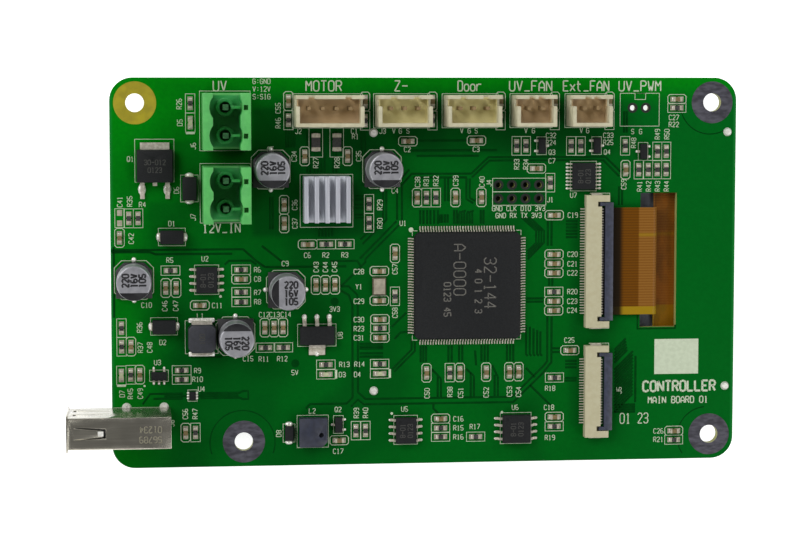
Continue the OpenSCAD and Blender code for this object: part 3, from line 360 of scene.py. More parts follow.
def make_materials():
    """Fills MATERIALS, from the table and from the colours in the settings."""
    for key, (name, light, dark, *rest) in PLAIN_FINISHES.items():
        MATERIALS[key] = make_plain(name, rgba(light), rgba(dark), *rest)
    MATERIALS.update({
        "mask": make_solder_mask(),
        "flex": make_flex_film(),
        "usb_steel": make_usb_steel(),
        "epoxy": make_moulded_epoxy(),
        "sink": make_sink_aluminium(),
        "floor": make_floor(),
    })
    s = settings()
    # green mask over the gaps between copper areas: the same ink, darker for want of copper
    mask = s.mask_colour[:]
    MATERIALS["mask_gap"] = make_plain(
        "mask_over_gaps", shade(mask, 1, 0.5, 0.67), shade(mask, 1, 0.38, 0.56), 1.5,
        rough=(0.3, 0.4), Specular_IOR_Level=0.03)
    # screen printed epoxy ink: matt, slightly grey-green where the mask shows through
    legend = s.legend_colour[:]
    MATERIALS["ink"] = make_plain("legend_ink", legend, shade(legend, 0.891, 0.896, 0.883), 0.7,
                                  rough=(0.6, 0.75))
    # unfilled nylon, ivory and a little waxy, with a painted shade tint in its cavities
    nylon = s.header_colour[:]
    for node, cavity_shade_tint in WIRE_HEADERS.items():
        MATERIALS[node] = make_housing(node, f"ivory_nylon_{node}", nylon,
                                       shade(nylon, 0.835, 0.831, 0.804), cavity_shade_tint, 0.4, 0.4, 2.3, 6.6)
    # green polyamide of terminal blocks, satin from the mould, with painted shade making its wells
    # deeper green
    green = s.terminal_colour[:]
    for node in TERMINAL_HEADERS:
        MATERIALS[node] = make_housing(node, f"green_polyamide_{node}", green,
                                       shade(green, 0.737, 0.834, 0.812), "#1a8a3c", 1.5, 0.4,
                                       5.0, 11.4)


def paint(mesh, key):
    """Gives a mesh its one material; all the materials are made when the first is needed."""
    if not MATERIALS:
        make_materials()
    mesh.materials.clear()
    mesh.materials.append(MATERIALS[key])


# ---------------------------------------------------------------- shaping helpers

def on_board(x, y, z=0.0):
    """A point x, y millimetres from the board's centre and z above its upper face, in metres."""
    return Vector((CENTRE.x + x * MM, CENTRE.y + y * MM, FACE_Z + z * MM))


def active():
    """The object that the last operator made."""
    return bpy.context.view_layer.objects.active


def select_only(obj):
    """Leaves edit mode, with one object selected and active."""
    if bpy.context.object and bpy.context.object.mode != "OBJECT":
        bpy.ops.object.mode_set(mode="OBJECT")
    bpy.ops.object.select_all(action="DESELECT")
    obj.select_set(True)
    bpy.context.view_layer.objects.active = obj


def finish(obj, name, material, body=ROOT, replaces=(), smooth=35.0):
    """Names a piece, settles its place into its mesh, gives it its material and its body."""
    select_only(obj)
    bpy.ops.object.transform_apply(location=True, rotation=True, scale=True)
    if smooth:
        bpy.ops.object.shade_smooth_by_angle(angle=math.radians(smooth))
    obj.name = name
    paint(obj.data, material)
    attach(obj, body)
    if replaces:
        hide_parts(*replaces)
    return obj


def cover(material, *nodes):
    """CAD nodes whose shape is already right only get their material."""
    for node in nodes:
        paint(frame["nodes"][node].data, material)


def bevel(obj, width_mm, segments=2):
    """Rounds the edges that turn by more than 30 degrees."""
    select_only(obj)
    edge = obj.modifiers.new("edges", "BEVEL")
    edge.width = width_mm * MM
    edge.segments = segments
    edge.limit_method = "ANGLE"
    edge.angle_limit = math.radians(30)
    edge.use_clamp_overlap = True
    bpy.ops.object.modifier_apply(modifier=edge.name)


def softened(node, width_mm, segments=2):
    """A merged copy of a CAD node with its mould radii or worn edges added."""
    copy = frame["nodes"][node].copy()
    copy.data = copy.data.copy()
    copy.parent = None
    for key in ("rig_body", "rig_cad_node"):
        if key in copy:
            del copy[key]
    bpy.context.scene.collection.objects.link(copy)
    select_only(copy)
    bpy.ops.object.mode_set(mode="EDIT")
    bpy.ops.mesh.select_all(action="SELECT")
    bpy.ops.mesh.remove_doubles(threshold=0.000001)
    bpy.ops.mesh.dissolve_limited(angle_limit=math.radians(1.0))
    bpy.ops.object.mode_set(mode="OBJECT")
    if copy.data.has_custom_normals:
        bpy.ops.mesh.customdata_custom_splitnormals_clear()
    bevel(copy, width_mm, segments)
    return copy


def renew(node, name, width_mm, material, body=ROOT, segments=2):
    """Puts a softened copy in a CAD node's place."""
    return finish(softened(node, width_mm, segments), name, material, body, (node,))


def raised(thick_mm):
    """Gives the flat mesh being edited a thickness upwards, and leaves edit mode."""
    bpy.ops.mesh.select_all(action="SELECT")
    bpy.ops.mesh.extrude_region_move(TRANSFORM_OT_translate={"value": (0, 0, thick_mm * MM)})
    bpy.ops.mesh.select_all(action="SELECT")
    bpy.ops.mesh.normals_make_consistent(inside=False)
    bpy.ops.object.mode_set(mode="OBJECT")
    return active()


def box(size, place):
    """A block, size in millimetres, centred on a place in metres."""
    bpy.ops.object.select_all(action="DESELECT")
    bpy.ops.mesh.primitive_cube_add(size=1, location=place)
    made = active()
    made.scale = [s * MM for s in size]
    bpy.ops.object.transform_apply(location=False, rotation=False, scale=True)
    return made


def joined(objects):
    """Several objects made one."""
    bpy.ops.object.select_all(action="DESELECT")
    for obj in objects:
        obj.select_set(True)
    bpy.context.view_layer.objects.active = objects[0]
    if len(objects) > 1:
        bpy.ops.object.join()
    return active()


def scattered(template, places):
    """Copies a template, each copy with its own mesh, to (place, turn in degrees), as one piece."""
    copies = []
    for place, turn in places:
        copy = template.copy()
        copy.data = template.data.copy()
        copy.location = place
        copy.rotation_euler = (0, 0, math.radians(turn))
        bpy.context.scene.collection.objects.link(copy)
        copies.append(copy)
    bpy.data.objects.remove(template)
    return joined(copies)


def islands(node):
    """Lowest and highest corner of each separate solid in a CAD node, in metres."""
    mesh = frame["nodes"][node].data
    keys = [tuple(round(c, 6) for c in v.co) for v in mesh.vertices]
    parent = {}

    def root(key):
        while parent.setdefault(key, key) != key:
            parent[key] = parent[parent[key]]
            key = parent[key]
        return key

    for polygon in mesh.polygons:
        corners = [root(keys[i]) for i in polygon.vertices]
        for corner in corners[1:]:
            parent[root(corner)] = root(corners[0])
    groups = {}
    for key in sorted(set(keys)):
        groups.setdefault(root(key), []).append(key)
    boxes = [(Vector(tuple(map(min, zip(*g)))), Vector(tuple(map(max, zip(*g)))))
             for g in groups.values()]
    return sorted(boxes, key=lambda box: tuple(box[0]))


def chip_places(node):
    """Middle on the board, turn and size of each solid in a node; turn 90 lies along Y."""
    found = []
    for low, high in islands(node):
        size = high - low
        middle = (low + high) / 2
        found.append((Vector((middle.x, middle.y, FACE_Z)), 90 if size.y > size.x else 0, size))
    return found


def toes(leads, bodies):
    """Place of each lead's outer end and the turn that points away from its body."""
    middles = [(low + high) / 2 for low, high in islands(bodies)]
    found = []
    for low, high in islands(leads):
        middle = (low + high) / 2
        away = middle - min(middles, key=lambda m: (m - middle).length)
        if abs(away.x) > abs(away.y):
            turn = 0 if away.x > 0 else 180
            end = Vector((high.x if away.x > 0 else low.x, middle.y, FACE_Z))
        else:
            turn = 90 if away.y > 0 else 270
            end = Vector((middle.x, high.y if away.y > 0 else low.y, FACE_Z))
        found.append((end, turn))
    return found


# ---------------------------------------------------------------- ink, tracks and lettering

# Strokes of each letter on a grid 4 wide and 6 high: pairs of digits are points, / lifts the pen
STROKES = {
    "0": "103041453616050110", "1": "152620/1030", "2": "05163645440040",
    "3": "05163645443313/334241301001", "4": "30360242", "5": "460603334241301001",
    "6": "3616050110304142331302", "7": "06464510",
    "8": "13040516364544331302011030414233", "9": "1030414536160504133344",
    "A": "0004264440/0242", "B": "00063645443303/3342413000", "C": "4536160501103041",
    "D": "00063645413000", "E": "46060040/0333", "F": "460600/0333",
    "G": "45361605011030414323", "I": "1030/2026/1636", "J": "0110304146",
    "K": "0006/4602/1340", "L": "060040", "M": "0006234640", "N": "00064046",
    "O": "103041453616050110", "P": "00063645443303", "Q": "103041453616050110/2240",
    "R": "00063645443303/2340", "S": "453616050413334241301001", "T": "0646/2620",
    "U": "060110304146", "V": "062046", "W": "0610233046", "X": "0046/0640",
    "H": "0006/4046/0343", "Y": "062346/2320", "Z": "06460040", "-": "0343", "_": "0040",
    "+": "0343/2125", ".": "2021", ":": "2122/2425", " ": "", "o": "103041433414030110",
    "r": "0004/02142444", "x": "0044/0440", "t": "16112030/0434",
}


def lettering(text, x, y, height, turn=0.0, slim=1.0):
    """The pen strokes of a word centred on x, y, as lists of points in millimetres."""
    unit = height / 6
    narrow = 0.8 * slim * unit
    advance = 5.6
    width = (len(text) * advance - 1.6) * narrow
    cos, sin = math.cos(math.radians(turn)), math.sin(math.radians(turn))
    lines = []
    for i, letter in enumerate(text):
        for stroke in filter(None, STROKES[letter].split("/")):
            line = []
            for a, b in zip(stroke[::2], stroke[1::2]):
                u = (int(a) + i * advance) * narrow - width / 2
                v = int(b) * unit - height / 2
                line.append((x + u * cos - v * sin, y + u * sin + v * cos))
            lines += [list(pair) for pair in zip(line, line[1:])]
    return lines


def drawn(lines, width_mm, z_mm, thick_mm):
    """Flat raised lines along lists of points, printed at height z_mm above the board."""
    curve = bpy.data.curves.new("lines", "CURVE")
    curve.dimensions = "3D"
    curve.bevel_depth = width_mm / 2 * MM
    curve.bevel_resolution = 1
    curve.use_fill_caps = True
    for line in lines:
        spline = curve.splines.new("POLY")
        closed = len(line) > 2 and line[0] == line[-1]
        points = line[:-1] if closed else line
        spline.points.add(len(points) - 1)
        for point, (x, y) in zip(spline.points, points):
            place = on_board(x, y)
            point.co = (place.x, place.y, 0, 1)
        spline.use_cyclic_u = closed
    made = bpy.data.objects.new("lines", curve)
    bpy.context.scene.collection.objects.link(made)
    select_only(made)
    bpy.ops.object.convert(target="MESH")
    made = active()
    made.scale.z = thick_mm / width_mm
    made.location.z = FACE_Z + z_mm * MM
    return made


def rectangle(x0, y0, x1, y1, cut=0.0):
    """A closed outline; cut takes its corners off at 45 degrees."""
    if not cut:
        return [(x0, y0), (x1, y0), (x1, y1), (x0, y1), (x0, y0)]
    return [(x0 + cut, y0), (x1 - cut, y0), (x1, y0 + cut), (x1, y1 - cut),
            (x1 - cut, y1), (x0 + cut, y1), (x0, y1 - cut), (x0, y0 + cut), (x0 + cut, y0)]


def in_mm(place):
    """A place's x and y from the board's centre, in millimetres."""
    return (place.x - CENTRE.x) / MM, (place.y - CENTRE.y) / MM


def around(node, margin_mm):
    """Outline round a whole node."""
    (x0, y0), (x1, y1) = (in_mm(corner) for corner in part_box(node))
    return rectangle(x0 - margin_mm, y0 - margin_mm, x1 + margin_mm, y1 + margin_mm)


# ---------------------------------------------------------------- sizes a user would change

def length(name, description, default):
    """A size property in metres."""
    return bpy.props.FloatProperty(
        name=name, description=description, default=default, min=0.0, unit="LENGTH", precision=5)


def power(name, description, default):
    """A light's strength in watts."""
    return bpy.props.FloatProperty(
        name=name, description=description, default=default, min=0.0, subtype="POWER")


def colour(name, description, default):
    """A colour property; its default is an sRGB hex value."""
    return bpy.props.FloatVectorProperty(
        name=name, description=description, default=rgba(default), size=4, min=0.0, max=1.0,
        subtype="COLOR")


class ControlBoardSettings(bpy.types.PropertyGroup):
    """Sizes of the legend, the solder and the softened edges, main colours and the lights."""
    ink_width: length("Legend line", "Width of the printed lines", 0.00015)
    letter_width: length("Letter line", "Width of the pen strokes of small letters", 0.00013)
    large_width: length("Large letter line", "Width of the pen strokes of names", 0.00024)
    ink_height: length("Legend height", "How far the ink stands above the mask", 0.00003)
    small_letter: length("Small letters", "Height of the part numbers", 0.0009)
    large_letter: length("Large letters", "Height of the connector names", 0.00185)
    gap_width: length("Copper gap", "Width of the gaps between copper areas", 0.0004)
    fillet: length("Solder fillet", "How far solder reaches from a chip part's end", 0.0003)
    mould_radius: length("Mould radius", "Edge radius of the moulded housings", 0.00012)
    mask_colour: colour("Solder mask", "Colour of the board", "#015213")
    legend_colour: colour("Legend", "Colour of the printed ink", "#b2bca4")
    header_colour: colour("Wire headers", "Colour of their nylon", "#b3ae93")
    terminal_colour: colour("Terminal headers", "Colour of their polyamide", "#4ea552")
    key_light: power("Key light", "Strength of the large soft light", 11.0)
    fill_light: power("Fill light", "Strength of the other lights", 6.0)


def settings():
    """The sizes and colours that a user can change."""
    return bpy.context.scene.control_board


def mm(value):
    """A length property in millimetres."""
    return value / MM


def ink(lines, name, width=None, material="ink", z_mm=0.012, thick_mm=None):
    """A finished piece of printed lines; its line width and thickness are the legend's unless
    they are given."""
    thick = thick_mm or mm(settings().ink_height)
    made = drawn(lines, width or mm(settings().ink_width), z_mm, thick)
    return finish(made, name, material, smooth=0)


# ---------------------------------------------------------------- stage

CAMERA_PLACE = (-48.61, 34.77, 433.41)      # millimetres from the part's origin
CAMERA_TILT = (-4.645, -6.353, 0.008)       # degrees
CAMERA_LENS = 104.9
LIGHT_SIZE = 0.8        # metres


class BOARD_OT_stage(bpy.types.Operator):
    """Pale floor, four large soft lights and the camera"""
    bl_idname = "control_board.stage"
    bl_label = "Stage"

    def execute(self, context):
        bpy.ops.object.select_all(action="DESELECT")
        bpy.ops.mesh.primitive_plane_add(size=6, location=(0, 0, -0.0005))
        floor = active()
        floor.name = "floor"
        paint(floor.data, "floor")
        s = settings()
        for name, place, strength in (("key_light", (-0.75, 0.55, 0.75), s.key_light),
                                      ("fill_light", (0.75, -0.45, 0.75), s.fill_light),
                                      ("left_light", (-0.6, -0.75, 0.7), s.fill_light),
                                      ("right_light", (0.7, 0.7, 0.7), s.fill_light)):
            bpy.ops.object.light_add(type="AREA", location=place)
            light = active()
            light.name = name
            light.data.size = LIGHT_SIZE
            light.data.energy = strength
            light.rotation_euler = Vector(place).to_track_quat("Z", "Y").to_euler()
        bpy.ops.object.camera_add(
            location=[v * MM for v in CAMERA_PLACE],
            rotation=[math.radians(v) for v in CAMERA_TILT])
        camera = active()
        camera.data.lens = CAMERA_LENS
        camera.data.sensor_width = 36
        camera.data.clip_start = 0.01
        context.scene.camera = camera
        world = bpy.data.worlds.new("studio")
        context.scene.world = world
        world.use_nodes = True
        background = world.node_tree.nodes["Background"].inputs
        background["Color"].default_value = rgba("#ffffff")
        background["Strength"].default_value = 0.1
        context.scene.view_settings.view_transform = "Standard"
        return {"FINISHED"}


# ---------------------------------------------------------------- board

def down(places, top, bottom):
    """Short straight gaps side by side."""
    return [[(x, top), (x, bottom)] for x in places]


GAPS = [
    # twin tracks round the microcontroller and along the lower edge
    [(-22.6, -25.2), (-21.8, -24.4), (-15, -24.4), (-13.9, -23.3), (-13.9, -6), (-14.6, -4.2),
     (-16, -3.4)],
    [(-14.2, -25), (-12.9, -23.7), (-11.8, -24.6), (16.2, -24.6), (21.8, -19.2),
     (23.4, -17.2), (23.4, -8.6)],
    [(-12.9, -6), (-12.9, -22.3), (-11.5, -23.6), (16, -23.6), (21.9, -17.9), (22.6, -17),
     (22.6, -8.6)],
    [(-16, -2.6), (-14.6, -2.6), (-13, -4.2), (-12.9, -6)],
    [(-16, -2.6), (-11.5, 1.8), (-11.5, 2.4), (-4.7, 9.2), (-4.7, 16), (-2.9, 18.1), (8.2, 18.1),
     (11.4, 21.1), (33.4, 21.1), (36.4, 18.2)],
    [(-5.6, 9.6), (-5.6, 16.4), (-3.3, 18.9)], [(8.3, 17.4), (11.6, 20.5), (33, 20.5), (36, 17.5)],
    [(7.9, 17.2), (7.9, 13.6), (9, 13)], [(7.3, 17.3), (7.3, 13.4), (8.6, 12.6)],
    [(-2.6, 17.4), (7.4, 17.4)], [(-30, 1.1), (-15, 1.1)], [(-18, 2.1), (-13, 2.1), (-12.3, 1)],
    [(-12.5, 2.5), (-5.7, 9.4)], [(18.6, -18.2), (20.3, -20)], [(19.3, -21.4), (23.4, -25.4)],
    [(23.5, -14.6), (25, -14.6)], [(23.5, -15.3), (25, -15.3)], [(18.6, -5.2), (21.8, -5.2)],
    [(18.6, -5.8), (21.8, -5.8)],
    # left of the microcontroller, and its fan-out below and above
    *[[(-12.6, y), (-8.2, y)] for y in (-13.3, -13.8, -14.2, -15.1, -15.7)],
    [(-3, -11.1), (-5, -11.3), (-6.1, -12.5)], [(-3.9, -7.6), (-6.6, -10.2)],
    [(-2.9, -12.5), (-2.9, -14.5), (-6.5, -18.1)], [(-2.3, -13), (-2.3, -14.8), (-6.2, -18.6)],
    *down((-1.2, -0.7, -0.2, 4, 4.6, 6, 6.6, 10.2, 10.8, 11.4, 15, 15.6, 16.2), -13.8, -16.9),
    *[[(x, top), (x, -23.4)] for x, top in ((2, -19.6), (2.6, -20), (8.2, -19), (8.8, -19.6),
                                            (12.7, -19.4), (13.3, -19.8))],
    [(0.9, -18.2), (2.6, -20)], [(7.3, -18.2), (8.8, -19.6)], [(12.2, -17.6), (13.3, -19.8)],
    [(1.2, -24.8), (1.2, -25.6), (2.2, -26.6)], [(9, -14.8), (9.2, -17.6)],
    *[[(x, -10.2 - i * 0.3), (x, -15.6), (x + 0.3, -16)]
      for i, x in enumerate((18.6, 19.3, 20, 20.7, 21.3))],
    *down((-1.3, -0.7, 0, 0.6, 1.3, 2, 5, 5.5, 10, 10.5), 11.4, 8.8),
    *down((2.4, 2.8, 3.3, 3.8), 10.6, 9), *down((3.3, 3.9), 17.2, 13),
    *[[(x, 8.8), (x, 10.6 + 0.3 * (i % 3)), (x + 0.3, 11.2)]
      for i, x in enumerate((5.9, 6.4, 6.9, 7.4, 7.9, 8.4))],
    # right of the microcontroller
    *[[(17.6 + i * 0.5, 10), (20.4 + i * 0.5, 7.4), (20.4 + i * 0.5, 5.2), (18.8, 3.6 - i * 0.5)]
      for i in range(4)],
    *down((22.6, 23.3), 9.2, 4.6), *down((22.9, 23.5), -1.2, -2.9),
    *[[(26, y), (28.2, y)] for y in (9.2, 8.6, 8, 7.4, 6.8, 6.2, -17, -17.6, -18.2, -20.2, -20.7)],
    *down((36, 36.6), 15.6, 12.1), *down((36.9, 37.4), 29.6, 25.6),
    [(35.2, -8.4), (39.7, -8.4), (39.7, -11.1), (46.9, -11.1), (46.9, -10.4)],
    # fan-out of the panel connector: slanted runs that end in a column
    *[[(35.4, -15 - i * 0.62), (37.5 + i * 0.08, -12.9 - i * 0.54)] for i in range(5)],
    *[[(35.4, -18.8 - i * 0.62), (38.9, -15.3 - i * 0.62)] for i in range(14)],
    *[[(35.4, -25.4 - i * 0.45), (39.4, -25.4 - i * 0.45)] for i in range(4)],
    [(39.4, -16.2), (39.4, -25)],
    # round the tiny chip, the power inductor and the left edge
    [(-52.6, -24), (-51.2, -22.1), (-45.2, -22.1)], [(-50.6, -23), (-45.2, -23)],
    [(-42, -22.1), (-34.8, -22.1), (-34.2, -21.8), (-33.2, -21.8), (-33.2, -23.3),
     (-34.2, -23.3), (-34.8, -23), (-42, -23)], [(-48.6, -22.55), (-35, -22.55)],
    [(-44, -14.9), (-43.4, -15.4), (-38, -15.4)], [(-58, 4), (-51, 4), (-50, 3.6), (-36, 3.6)],
    [(-58, 4.4), (-34, 4.4), (-31.6, 2.2), (-30, 1.1)], [(-57.6, 5), (-57.6, -8)],
    [(-37.4, 1.6), (-36.6, 2.3), (-32.6, 2.3), (-31.6, 1.6)], [(-30.6, 5), (-26.8, 2)],
    # below and above the motor driver
    *down((-26, -25.5, -25, -24.5), 30.6, 23), *down((-22.2, -21.6, -17.4, -16.8), 26, 18.4),
    *down((-20.8, -20.2, -19.6, -19), 22, 18.4), *down((-12.2, -11.6), 26, 19),
    *down((-20, -19.4, -18.8, -18.2, -17.6), 8.2, 6.6), *down((-29, -28.5), 14, 8),
    *[[(-13.4, y), (-11.9, y)] for y in (14, 13.4, 12.4, 11.8, 10.6, 10)],
    [(-8.2, 15), (-8.2, 10), (-12.4, 6)], [(-7.6, 15), (-7.6, 9.6), (-12, 5.2)],
    [(-4.4, 24.2), (9, 24.2)], [(-3, 22.4), (13, 22.4)], [(-2, 21.4), (9.6, 21.4)],
]
BORDER_WIDTH = 0.2
# Borders of the copper round the mounting holes: x, y, radius, first and last angle in degrees
BORDERS = [(-34.3, -31.4, 6, -20, 200), (53.1, -31.6, 5.6, 95, 215), (53.2, 31, 5.7, 170, 300)]
# Programming holes at 2.54 mm and the spare fan's holes, and test spots under the mask
EMPTY_HOLES = [(x, y) for x in (13.29, 15.83, 18.37, 20.91) for y in (13.43, 15.97)]
EMPTY_HOLES += [(38.45, 30.2), (40.95, 30.2)]
TEST_SPOTS = [(-17.2, -5.4), (-24.5, -16.8)]


def ring(outer, inner, thick):
    """A flat ring with some thickness, made from a circle."""
    bpy.ops.object.select_all(action="DESELECT")
    bpy.ops.mesh.primitive_circle_add(vertices=20, radius=outer * MM)
    bpy.ops.object.mode_set(mode="EDIT")
    bpy.ops.mesh.select_all(action="SELECT")
    bpy.ops.mesh.extrude_region_move()
    bpy.ops.transform.resize(value=[inner / outer] * 3)
    return raised(thick)


def disc(radius, x, y, low, thick):
    """A thin printed spot, its underside low millimetres above the board."""
    bpy.ops.object.select_all(action="DESELECT")
    bpy.ops.mesh.primitive_circle_add(vertices=24, radius=radius * MM, fill_type="NGON",
                                      location=on_board(x, y, low))
    bpy.ops.object.mode_set(mode="EDIT")
    return raised(thick)


def taper(obj, above, scale):
    """Scales the corners above a height in metres about the piece's own middle."""
    select_only(obj)
    for vertex in obj.data.vertices:
        vertex.select = vertex.co.z > above
    for polygon in obj.data.polygons:
        polygon.select = all(obj.data.vertices[i].select for i in polygon.vertices)
    bpy.ops.object.mode_set(mode="EDIT")
    bpy.ops.mesh.select_mode(type="FACE")
    bpy.ops.transform.resize(value=scale, center_override=obj.location)
    bpy.ops.object.mode_set(mode="OBJECT")
    return obj


class BOARD_OT_circuit_board(bpy.types.Operator):
    """The board, its metal pads, plated holes, solder and the copper areas under the mask"""
    bl_idname = "control_board.circuit_board"
    bl_label = "Circuit board"

    def execute(self, context):
        cover("mask", "circuit_board")
        cover("gold", "gold_mounting_pad")
        cover("pad_tin", "tinned_mounting_pads")
        cover("solder", "solder_joints")
        ink(GAPS, "copper_gaps", mm(settings().gap_width), "mask_gap", z_mm=0.004,
            thick_mm=0.012)
        rounds = []
        for x, y, radius, first, last in BORDERS:
            angles = [math.radians(angle) for angle in range(first, last + 1, 5)]
            rounds.append([(x + radius * math.cos(a), y + radius * math.sin(a)) for a in angles])
        ink(rounds, "copper_borders", BORDER_WIDTH, "mask_gap", z_mm=0.004, thick_mm=0.012)
        places = [(on_board(x, y, -0.01), 0) for x, y in EMPTY_HOLES]
        rings = scattered(ring(0.95, 0.5, 0.03), places)
        finish(rings, "empty_hole_rings", "dull_ring")
        spots = [disc(0.75, *spot, 0.01, 0.012) for spot in TEST_SPOTS]
        finish(joined(spots), "test_spots", "mask_gap", smooth=0)
        return {"FINISHED"}


# ---------------------------------------------------------------- legend

# Word, its middle from the board's centre, and how tall and how slim it is beside the usual
LARGE_LABELS = [
    ("UV", -38.1, 34.25, 1, 1), ("MOTOR", -19.1, 34.25, 1, 1), ("Z-", -4.85, 34.25, 1, 1),
    ("Door", 7.85, 34.25, 1, 0.84), ("UV_FAN", 19.25, 34.25, 1, 1),
    ("Ext_FAN", 29.65, 34.25, 1, 0.92), ("UV_PWM", 39.8, 34.25, 1, 1),
    ("12V_IN", -37.95, 8.3, 0.86, 1),
]
SMALL_LABELS = [
    ("G:GND", -30.5, 35.1), ("V:12V", -30.5, 33.7), ("S:SIG", -30.5, 32.3),
    ("GND CLK DIO 3V3", 17.1, 11.6), ("GND RX TX 3V3", 17.1, 10.3),
    ("V", -6.2, 26), ("G", -5, 26), ("S", -3.6, 26), ("V", 6.4, 26), ("G", 7.8, 26),
    ("S", 9.1, 26), ("V", 18.4, 26), ("G", 19.8, 26), ("V", 28.8, 26), ("G", 30, 26),
    ("S", 38.5, 25.8), ("G", 40, 25.8), ("3V3", -17.2, -6.8), ("5V", -24.6, -18.5),
]
# Part numbers by kind: x, y from the board's centre; the second list is turned upright
NUMBERS = {
    "R": ([(-13.3, 25), (-18.8, 3.2), (-15.3, 3.2), (-52.3, 12.7), (-47.4, 2.5), (-31.4, 0.6),
           (-31.4, -3.6), (-31.4, -5.3), (-42.5, -17.9), (-42.5, -19.5), (-30.3, -15.9),
           (-26.9, -15.9), (-15.4, -17.1), (-12.6, -17.1), (5.9, -29.3), (5.9, -31),
           (9, -29.1), (23.2, -22.1), (23.2, -31.4), (27.3, -4), (43.9, -32.1), (46.3, 27.1),
           (-12.7, -10.5), (23.1, 23.8), (33.9, 23.8)],
          [(-45.5, 31), (-20.6, 20.2), (-16.7, 20.2), (-8.8, 12.4), (-8.8, 9), (-0.2, 16.8),
           (1.6, 16.8), (16.7, 19.8), (18.4, 19.8), (-54.6, 13.3), (-53, -9.8), (-52.9, -13.5),
           (4.3, -22.5), (-13.2, -26.2), (-11.5, -26.2), (39.9, 15.6), (41.6, 15.6),
           (43.3, 15.6), (45, 15.6), (-54.8, -22), (-27.5, 27.5), (-43, -25.9), (38.7, 23.7),
           (43.2, 25.3), (45, 25.3)]),
    "C": ([(-13.5, 26), (-3.7, 22.6), (9.1, 22.6), (-6, 15), (-28.9, 22.7), (-22.2, 3.2),
           (23.3, 20.4), (-31.4, -1.1), (-26.3, 1.7), (-51.7, -5.7), (-38.8, -5.9),
           (-30.2, -7.7), (-28.3, -7.7), (-26.2, -7.7), (-33.2, -15.8), (5.9, -27.6),
           (-16.6, -33.3), (23, -25.7), (27.3, 10.3), (27.3, 3), (27.3, 1.2), (27.3, -0.5),
           (27.3, -5.8), (27.3, -7.5), (26.8, -13.1), (43.9, -30.5), (46.3, 28.4),
           (-12.7, 0.1), (-12.7, -5.4), (-12.7, -8.8), (-12.7, -12.2), (23.1, 25.1), (33.9, 25.1)],
          [(-24.6, 21.4), (-12.7, 21.4), (-24.5, 12.5), (-24.5, 9.1), (-1.8, 16.6),
           (5.3, 16.8), (10.2, 16.6), (-56.4, 13.2), (-54.4, 6.5), (-20.6, 1), (-18.9, 1),
           (-17.2, 1), (-48.4, -5.9), (-46.4, -5.9), (-51.2, -13.5), (-53, -22), (0, -22.7),
           (6.3, -22.7), (11.1, -22.7), (15.5, -22.6), (17.2, -22.7), (-27.5, 30.2),
           (-44.8, -25.9), (-6, 0.5), (-6, -7.6), (36.9, 16)]),
    "D": ([(-47, 9.2), (-48.8, -12.6), (-15.8, -19), (-13, -19)],
          [(-45.4, 27.6), (-46.1, 15.3), (-56.3, -22), (-27.6, -29.8)]),
    "U": ([(-4.5, 9), (-41, 2.7), (-49.8, -16.3), (-41.8, -21.3), (-4.2, -25.6), (16.6, -25.6),
           (27.4, 14)], [(-16.2, -11.7)]),
    "J": ([(23, 13.2), (-23.8, 26), (-8.3, 26)],
          [(11.5, 16.3), (36.3, -22.7), (-43, 23.3), (-43.1, 10.3), (-47.3, -27.6)]),
    "Q": ([(-54.4, 21), (-16.6, -25.5), (23.3, 22), (33.7, 22)], []),
    "Y": ([(-12.7, -2.7)], []),
    "L": ([(-41.9, -7.8), (-21.4, -25.7)], []),
}
DATE_CODE = ("01 23", 39.2, -28)
BOARD_NAMES = [("CONTROLLER", 47.8, -22, 1.9, 0.42), ("MAIN BOARD 01", 47.6, -24.6, 1.2, 0.22)]
EMPTY_PLACE = (-56.45, 10.25)       # a chip's place left without its part
WRITING_SPACE = (47.2, -16.4)       # middle of the block of ink to write on
WRITING_BLOCK = (8.4, 6.6, 0.02)


SMALL_CELL = (1.72, 3.45)           # width and length of the outline round a chip part
LARGE_CELL = (2.5, 5.4)
PLACED_OUTLINES = [
    rectangle(-23.5, 8.35, -13.8, 18.05),                               # heatsink
    rectangle(12.2, 12.2, 22.2, 17.2), [(12.2, 14.7), (22.2, 14.7)],    # programming holes
    rectangle(36.1, 26.8, 43.5, 32.9),                                  # spare fan header
    rectangle(38.9, 31.75, 40.9, 32.9),                                 # and its key
    rectangle(-53.6, 16.8, -46.5, 24.6),                                # lamp transistor
    [(-58, -24.6), (-47.8, -24.6)],                                     # USB socket
]
# Radius and place of the dots beside the chips' first pins
FIRST_PIN_DOTS = [(0.45, -3, 7.75), (0.25, -38.2, -4.25), (0.25, -6.6, -26.4),
                  (0.25, 14.1, -26.5), (0.2, -52.2, -20.6)]


def cell(x, y, turn, across_mm, along_mm, cut=0.0):
    """Outline round a small part whose length lies along X at turn 0."""
    a, b = along_mm / 2, across_mm / 2
    if turn:
        a, b = b, a
    return rectangle(x - a, y - b, x + a, y + b, cut)


